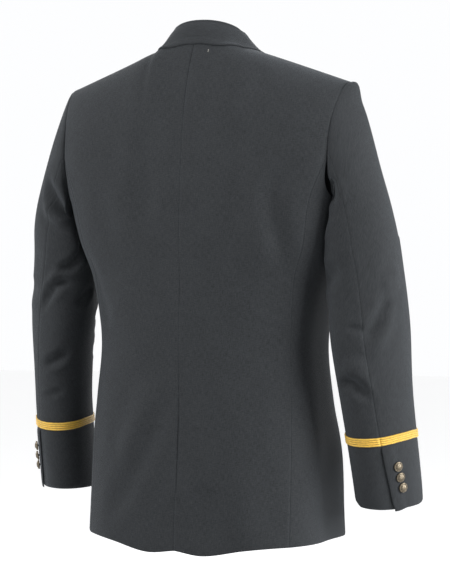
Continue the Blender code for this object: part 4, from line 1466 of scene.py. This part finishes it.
def braid_finish():
    """Gold braid: oblique threads over lengthwise ribs, with painted shade between them."""
    look = bpy.context.scene.jacket_braid
    tree, shader = new_finish(
        "ribbed_braid", Metallic=0.10, Sheen_Weight=0.25, Sheen_Roughness=0.35, Specular_IOR_Level=0.55)
    place, across, along = grain_of(tree, "grain")
    rib = (along * (BRAID_RIBS * math.pi / BRAID_WIDTH)).wave().size()
    thread = ((across + along * THREAD_SLOPE) * (math.tau / look.thread_pitch)).wave()
    counter = ((across - along * THREAD_SLOPE) * (math.tau / look.thread_pitch)).wave()
    worn = mottle(tree, place, EVEN, 260.0, 3.0, 0.65)
    # painted shade between the ribs: the tone falls where the rib wave is low
    tone = (rib * 0.72 + thread * 0.14 + counter * 0.10 + (worn - 0.5) * 0.9 + 0.12).clamped()
    feed(tree, shader, "Base Color", shaded(tree, tone, look.colour, 0.36, 1.05))
    feed(tree, shader, "Roughness", 0.46 + (worn - 0.5) * 0.25)
    height = rib * 0.9 + thread * 0.35 + counter * 0.25 + worn * 0.2
    feed(tree, shader, "Normal", raised(tree, height, 0.00035, 0.7))


# The brass's tone by the share of the radius, painted shade in the groove and rubbed wear with a painted
# highlight on the dome and the rim: both ends, then the stops between
RUBBED_AND_SHADED = ((0.0, 0.85), (1.0, 0.55), (0.45, 0.72), (0.70, 0.45), (0.79, 0.05), (0.86, 0.80), (0.94, 0.95))


def brass_finish():
    """Darkened brass: rubbed bright on the dome and the rim, with a painted highlight there too, and painted
    shade in the flutes and the groove.
    """
    look = bpy.context.scene.jacket_buttons
    tree, shader = new_finish("rubbed_brass", Specular_IOR_Level=0.5)
    _, around, out = grain_of(tree, "turned")
    flute = (around * (FLUTES * math.tau) + math.pi / 2).wave()
    groove = make_node(tree, "ShaderNodeValToRGB", {"stops": RUBBED_AND_SHADED}, {0: out})
    grime = mottle(tree, object_place(tree), EVEN, 900.0, 4.0, 0.7)
    # painted shade in the groove from the ramp and between the flutes from the flute wave; rubbed wear and a
    # painted highlight lighten the dome and the rim
    tone = (groove * 0.9 + flute * 0.16 + (grime - 0.5) * 1.1).clamped()
    feed(tree, shader, "Base Color", shaded(tree, tone, look.colour, 0.28, 1.35))
    feed(tree, shader, "Metallic", 0.55 + tone * 0.4)
    feed(tree, shader, "Roughness", 0.52 - tone * 0.20 + (grime - 0.5) * 0.2)
    feed(tree, shader, "Normal", raised(tree, grime, 0.0002, 0.35))


def thread_finish(name, colour):
    """Plied thread, with painted shade in its hollows."""
    tree, shader = new_finish(name, Metallic=0.0, Sheen_Weight=0.2, Specular_IOR_Level=0.4)
    ply = mottle(tree, object_place(tree), (1.0, 1.0, 3.0), 2400.0, 2.0, 0.6)
    # painted shade: the ply noise that raises the thread darkens it where it is low
    feed(tree, shader, "Base Color", shaded(tree, ply, colour, 0.7, 1.2))
    feed(tree, shader, "Roughness", 0.62 + (ply - 0.5) * 0.2)
    feed(tree, shader, "Normal", raised(tree, ply, 0.0002, 0.5))


DARK_THREAD = (0.012, 0.013, 0.016)
PALE_THREAD = (0.42, 0.40, 0.36)


def build_finishes():
    wool_finish()
    braid_finish()
    brass_finish()
    thread_finish("dark_thread", DARK_THREAD)
    thread_finish("pale_thread", PALE_THREAD)


def wound_thread(name, points, width, material):
    """A sewn thread as a fine tube along points."""
    line = bpy.data.curves.new(name, "CURVE")
    line.dimensions = "3D"
    line.bevel_depth = width / 2
    line.bevel_resolution = 1
    spline = line.splines.new("POLY")
    spline.points.add(len(points) - 1)
    for knot, point in zip(spline.points, points):
        knot.co = (*point, 1.0)
    line.materials.append(bpy.data.materials[material])
    piece = bpy.data.objects.new(name, line)
    bpy.context.scene.collection.objects.link(piece)
    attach(piece, "root")


# A worked hole: its stitches, where it starts, half its width, how far the thread swings and rises
HOLE_STITCHES = 46
HOLE_FROM = -0.003
HOLE_HALF = 0.0008
STITCH_SWING = 0.0005
STITCH_RISE = 0.0003
HOLE_THREAD = 0.0005
# The tack at the nape
TACK_LEVELS = (-0.0165, -0.0185, -0.0205)
TACK_OUT = 0.0265
TACK_LIFT = 0.0004
TACK_THREAD = 0.0009


def buttonhole(level, length):
    """The thread's path along one lip of a worked hole and back along the other."""
    loops = []
    for k in range(HOLE_STITCHES * 4 + 1):
        share = k / (HOLE_STITCHES * 4)
        way = share * 2 if share < 0.5 else 2 - share * 2
        side = 1 if share < 0.5 else -1
        swing = STITCH_SWING * math.sin(k * math.pi / 2)
        rise = STITCH_RISE * math.cos(k * math.pi / 2)
        out = mix(HOLE_FROM, length + HOLE_FROM, way)
        loops.append(front_at(out, level + side * (HOLE_HALF + swing), STITCH_RISE + rise, 1))
    return loops


def build_stitching():
    """Worked buttonholes on the lapping front, and the small tack that shows below the collar."""
    length = bpy.context.scene.jacket_buttons.buttonhole_length
    for i in range(FRONT_BUTTONS):
        hole = buttonhole(FRONT_BUTTON_TOP - i * FRONT_BUTTON_STEP, length)
        wound_thread(f"buttonhole_{i + 1}", hole, HOLE_THREAD, "dark_thread")
    tack = [across_body(TACK_OUT, level, False) for level in TACK_LEVELS]
    wound_thread("nape_tack", [(-point.x, point.y + TACK_LIFT, point.z) for point in tack], TACK_THREAD,
                 "pale_thread")


# The camera: its lens, its turn about the jacket, distance, offsets, tilt and roll
SENSOR = 36.0
FRAME_PIXELS = 450
FOCUS_PIXELS = 1918.0
CAMERA_TURN = math.radians(205.0)
CAMERA_DISTANCE = 3.0
CAMERA_ASIDE = 0.0203
CAMERA_HEIGHT = -0.340
CAMERA_TILT = 22 / FOCUS_PIXELS
CAMERA_ROLL = 0.0135
RIGHT = Vector((math.cos(CAMERA_TURN), math.sin(CAMERA_TURN), 0))
TO_CAMERA = Vector((math.sin(CAMERA_TURN), -math.cos(CAMERA_TURN), 0))
UP = Vector((0, 0, 1))

# The floor: grey under the jacket and on the camera's side, a painted shadow that also cuts the light bounced
# up onto the jacket; beyond it and all round further out it is white and glows with painted light
FLOOR_LEVEL = -1.25
FLOOR_RADIUS = 14.0
FLOOR_SIDES = 96
FLOOR_GLOW = 0.47
FLOOR_MOTTLE = 1.4
FLOOR_SHADOW_GREY = (0.50, 0.505, 0.51, 1)
FLOOR_WHITES = ((0.90, 0.905, 0.91, 1), (0.93, 0.935, 0.94, 1))
PALE_BEYOND = (0.3, 2.2)
PALE_AROUND = (1.8, 4.5)
PALE_AROUND_SHARE = 0.9
BLACK = (0, 0, 0, 1)
WHITE = (1.0, 1.0, 1.0, 1)

# The room: the backdrop, and over which directions it gives way to the dimmer side
BACKDROP = (0.985, 0.99, 1.0, 1.0)
BACKDROP_FADE = (-0.15, 0.75)

# The softboxes: to the camera's right, towards it and up from the jacket's middle, then side and power
LIT_MIDDLE = Vector((0, 0, -0.36))
SOFTBOXES = (
    ("key_softbox", (2.6, 1.25, 0.8), 1.6, "key"),
    ("fill_softbox", (-2.5, 1.0, 1.6), 1.6, "fill"),
    ("front_softbox", (0.0, -2.6, 1.2), 2.0, "front"),
)


def place_camera():
    lens = bpy.data.cameras.new("photo_camera")
    lens.sensor_fit = "HORIZONTAL"
    lens.sensor_width = SENSOR
    lens.lens = SENSOR * FOCUS_PIXELS / FRAME_PIXELS
    camera = bpy.data.objects.new("photo_camera", lens)
    bpy.context.scene.collection.objects.link(camera)
    facing = Matrix((RIGHT, UP, TO_CAMERA)).transposed()
    facing = facing @ Matrix.Rotation(-CAMERA_TILT, 3, "X") @ Matrix.Rotation(CAMERA_ROLL, 3, "Z")
    place = TO_CAMERA * CAMERA_DISTANCE + RIGHT * CAMERA_ASIDE + UP * CAMERA_HEIGHT
    camera.matrix_world = Matrix.Translation(place) @ facing.to_4x4()
    bpy.context.scene.camera = camera


def reach_along(tree, place, way):
    """How far a place or a direction reaches along a way."""
    return make_node(tree, "ShaderNodeVectorMath", {"operation": "DOT_PRODUCT"}, {0: place, 1: way}, 1)


def faded_in(tree, value, over, top=1.0):
    """0 below the first of two values, the top above the second and smooth between."""
    return make_node(tree, "ShaderNodeMapRange", {"interpolation_type": "SMOOTHSTEP"}, {
        "Value": value, "From Min": over[0], "From Max": over[1], "To Min": 0.0, "To Max": top})


def lay_floor():
    shape = bmesh.new()
    bmesh.ops.create_circle(shape, cap_ends=True, segments=FLOOR_SIDES, radius=FLOOR_RADIUS)
    mesh = bpy.data.meshes.new("pale_floor")
    shape.to_mesh(mesh)
    shape.free()
    floor = bpy.data.objects.new("pale_floor", mesh)
    floor.location.z = FLOOR_LEVEL
    bpy.context.scene.collection.objects.link(floor)
    tree, shader = new_finish("pale_floor", Roughness=0.9, Specular_IOR_Level=0.1,
                              Emission_Strength=FLOOR_GLOW)
    place = object_place(tree)
    far = faded_in(tree, reach_along(tree, place, -TO_CAMERA), PALE_BEYOND)
    away = make_node(tree, "ShaderNodeVectorMath", {"operation": "LENGTH"}, {0: place}, 1)
    around = faded_in(tree, away, PALE_AROUND, PALE_AROUND_SHARE)
    pale = far + around - far * around
    white = blended(tree, mottle(tree, place, EVEN, FLOOR_MOTTLE), *FLOOR_WHITES)
    # painted shadow: grey near the jacket and on the camera's side
    feed(tree, shader, "Base Color", blended(tree, pale, FLOOR_SHADOW_GREY, white))
    # painted light: the pale part glows
    feed(tree, shader, "Emission Color", blended(tree, pale, BLACK, WHITE))
    mesh.materials.append(bpy.data.materials["pale_floor"])


def light_room():
    """A white backdrop, which the camera sees all round, and less light from the camera's side."""
    look = bpy.context.scene.jacket_stage
    world = bpy.data.worlds.new("studio")
    bpy.context.scene.world = world
    world.use_nodes = True
    tree = world.node_tree
    way = make_node(tree, "ShaderNodeTexCoord", {}, {}, "Generated")
    share = faded_in(tree, reach_along(tree, way, -TO_CAMERA), BACKDROP_FADE)
    light = blended(tree, share, tinted(WHITE[:3], look.room), BACKDROP)
    seen = make_node(tree, "ShaderNodeLightPath", {}, {}, "Is Camera Ray")
    background = tree.nodes["Background"]
    tree.links.new(blended(tree, seen, light, BACKDROP).socket, background.inputs["Color"])
    background.inputs["Strength"].default_value = look.surround


def hang_softboxes():
    look = bpy.context.scene.jacket_stage
    for name, (aside, near, above), size, power in SOFTBOXES:
        lamp = bpy.data.lights.new(name, "AREA")
        lamp.shape = "SQUARE"
        lamp.size = size
        lamp.energy = getattr(look, power)
        offset = RIGHT * aside + TO_CAMERA * near + UP * above
        stand = bpy.data.objects.new(name, lamp)
        stand.location = LIT_MIDDLE + offset
        stand.rotation_euler = (-offset).to_track_quat("-Z", "Y").to_euler()
        bpy.context.scene.collection.objects.link(stand)


def build_stage():
    place_camera()
    lay_floor()
    light_room()
    hang_softboxes()
    bpy.context.scene.view_settings.view_transform = "Standard"


class JacketCloth(bpy.types.PropertyGroup):
    """The wool and how it is sewn."""

    colour: FloatVectorProperty(
        name="Wool colour", description="Middle tone of the cloth", subtype="COLOR", size=3,
        min=0, max=1, default=(0.0285, 0.0312, 0.0342))
    sheen: FloatProperty(
        name="Nap", description="How much light the nap catches", default=0.10, min=0, max=1,
        subtype="FACTOR")
    weave_pitch: FloatProperty(
        name="Weave pitch", description="Distance between threads", default=0.0011, min=0.0002, max=0.01,
        unit="LENGTH", precision=5)
    thickness: FloatProperty(
        name="Cloth thickness", description="Thickness of one layer", default=0.0013, min=0.0003, max=0.004,
        unit="LENGTH", precision=5)
    seam_tuck: FloatProperty(
        name="Seam tuck", description="How far a sewn edge runs on behind its neighbour", default=0.0005,
        min=0, max=0.003, unit="LENGTH", precision=5)
    seam_depth: FloatProperty(
        name="Seam depth", description="How far the cloth turns in at a seam", default=0.0005, min=0,
        max=0.004, unit="LENGTH", precision=5)
    seam_width: FloatProperty(
        name="Seam width", description="How near a seam the cloth starts to turn in", default=0.0011,
        min=0.0003, max=0.006, unit="LENGTH", precision=5)
    allowance_lift: FloatProperty(
        name="Allowance lift", description="Ease over the seam allowances pressed open", default=0.00022,
        min=0, max=0.002, unit="LENGTH", precision=5)


class JacketFolds(bpy.types.PropertyGroup):
    """How strongly the jacket creases."""

    body_folds: FloatProperty(
        name="Body creases", description="Depth of the body's creases against those worn in", default=1.3,
        min=0, max=4, subtype="FACTOR")
    sleeve_folds: FloatProperty(
        name="Sleeve creases", description="Depth of the sleeves' creases against those worn in", default=2.1,
        min=0, max=4, subtype="FACTOR")
    unevenness: FloatProperty(
        name="Unevenness", description="Slow rise and fall of the hanging cloth", default=0.0012, min=0,
        max=0.005, unit="LENGTH", precision=5)


class JacketBraid(bpy.types.PropertyGroup):
    """The gold braid round the cuffs."""

    colour: FloatVectorProperty(
        name="Braid colour", description="Gold of the threads", subtype="COLOR", size=3, min=0, max=1,
        default=(0.92, 0.57, 0.080))
    rib_height: FloatProperty(
        name="Rib height", description="Height of the lengthwise ribs", default=0.0005, min=0, max=0.001,
        unit="LENGTH", precision=5)
    thread_pitch: FloatProperty(
        name="Thread pitch", description="Distance between the oblique threads", default=0.0016, min=0.0004,
        max=0.005, unit="LENGTH", precision=5)


class JacketButtons(bpy.types.PropertyGroup):
    """The domed buttons and their holes."""

    colour: FloatVectorProperty(
        name="Button colour", description="Rubbed brass of the buttons", subtype="COLOR", size=3, min=0,
        max=1, default=(0.21, 0.175, 0.125))
    buttonhole_length: FloatProperty(
        name="Buttonhole length", description="Length of the worked holes", default=0.026, min=0.01, max=0.04,
        unit="LENGTH", precision=4)


class JacketStage(bpy.types.PropertyGroup):
    """The studio light."""

    surround: FloatProperty(
        name="Surround", description="Brightness of the white surround", default=1.0, min=0, max=4)
    room: FloatProperty(
        name="Room", description="Brightness of the camera's side against the backdrop", default=0.28,
        min=0, max=1, subtype="FACTOR")
    key: FloatProperty(
        name="Key light", description="Power of the main softbox", default=118.0, unit="POWER")
    fill: FloatProperty(
        name="Fill light", description="Power of the second softbox", default=82.0, unit="POWER")
    front: FloatProperty(
        name="Front light", description="Power of the softbox before the wearer", default=24.0, unit="POWER")


class JACKET_OT_choose_finishes(bpy.types.Operator):
    """Make the wool, braid, brass and thread"""

    bl_idname = "jacket.choose_finishes"
    bl_label = "Choose Finishes"

    def execute(self, context):
        build_finishes()
        return {"FINISHED"}


class JACKET_OT_sew_body(bpy.types.Operator):
    """Sew the back, the side bodies and the fronts"""

    bl_idname = "jacket.sew_body"
    bl_label = "Sew Body"

    def execute(self, context):
        build_body()
        return {"FINISHED"}


class JACKET_OT_fold_collar(bpy.types.Operator):
    """Roll the lapels and fold the collar"""

    bl_idname = "jacket.fold_collar"
    bl_label = "Fold Collar and Lapels"

    def execute(self, context):
        build_collar_and_lapels()
        return {"FINISHED"}


class JACKET_OT_set_sleeves(bpy.types.Operator):
    """Set in the top and under sleeves"""

    bl_idname = "jacket.set_sleeves"
    bl_label = "Set Sleeves"

    def execute(self, context):
        build_sleeves()
        return {"FINISHED"}


class JACKET_OT_wind_braid(bpy.types.Operator):
    """Sew the braid round both cuffs"""

    bl_idname = "jacket.wind_braid"
    bl_label = "Wind Braid"

    def execute(self, context):
        build_braid()
        return {"FINISHED"}


class JACKET_OT_sew_buttons(bpy.types.Operator):
    """Sew on the front and cuff buttons"""

    bl_idname = "jacket.sew_buttons"
    bl_label = "Sew Buttons"

    def execute(self, context):
        build_buttons()
        return {"FINISHED"}


class JACKET_OT_work_stitching(bpy.types.Operator):
    """Work the buttonholes and the tack at the nape"""

    bl_idname = "jacket.work_stitching"
    bl_label = "Work Stitching"

    def execute(self, context):
        build_stitching()
        return {"FINISHED"}


class JACKET_OT_light_stage(bpy.types.Operator):
    """Set up the floor, the softboxes and the camera"""

    bl_idname = "jacket.light_stage"
    bl_label = "Light Stage"

    def execute(self, context):
        build_stage()
        return {"FINISHED"}


class JACKET_PT_panel(bpy.types.Panel):
    """Lists the steps of making the jacket"""

    bl_label = "Jacket"
    bl_idname = "JACKET_PT_panel"
    bl_space_type = "VIEW_3D"
    bl_region_type = "UI"
    bl_category = "Jacket"

    def draw(self, context):
        for group in GROUPS:
            box = self.layout.box()
            settings = getattr(context.scene, group)
            for name in settings.bl_rna.properties.keys():
                if name not in {"rna_type", "name"}:
                    box.prop(settings, name)
        for operator in OPERATORS:
            self.layout.operator(operator.bl_idname)


GROUPS = {
    "jacket_cloth": JacketCloth,
    "jacket_folds": JacketFolds,
    "jacket_braid": JacketBraid,
    "jacket_buttons": JacketButtons,
    "jacket_stage": JacketStage,
}
OPERATORS = (
    JACKET_OT_choose_finishes,
    JACKET_OT_sew_body,
    JACKET_OT_fold_collar,
    JACKET_OT_set_sleeves,
    JACKET_OT_wind_braid,
    JACKET_OT_sew_buttons,
    JACKET_OT_work_stitching,
    JACKET_OT_light_stage,
)


def register():
    for group in (*GROUPS.values(), *OPERATORS, JACKET_PT_panel):
        bpy.utils.register_class(group)
    for name, group in GROUPS.items():
        setattr(bpy.types.Scene, name, PointerProperty(type=group))


def unregister():
    for name in GROUPS:
        delattr(bpy.types.Scene, name)
    for group in (JACKET_PT_panel, *OPERATORS[::-1], *GROUPS.values()):
        bpy.utils.unregister_class(group)


def main():
    register()
    bpy.ops.jacket.choose_finishes()
    bpy.ops.jacket.sew_body()
    bpy.ops.jacket.fold_collar()
    bpy.ops.jacket.set_sleeves()
    bpy.ops.jacket.wind_braid()
    bpy.ops.jacket.sew_buttons()
    bpy.ops.jacket.work_stitching()
    bpy.ops.jacket.light_stage()


if __name__ == "__main__":
    main()
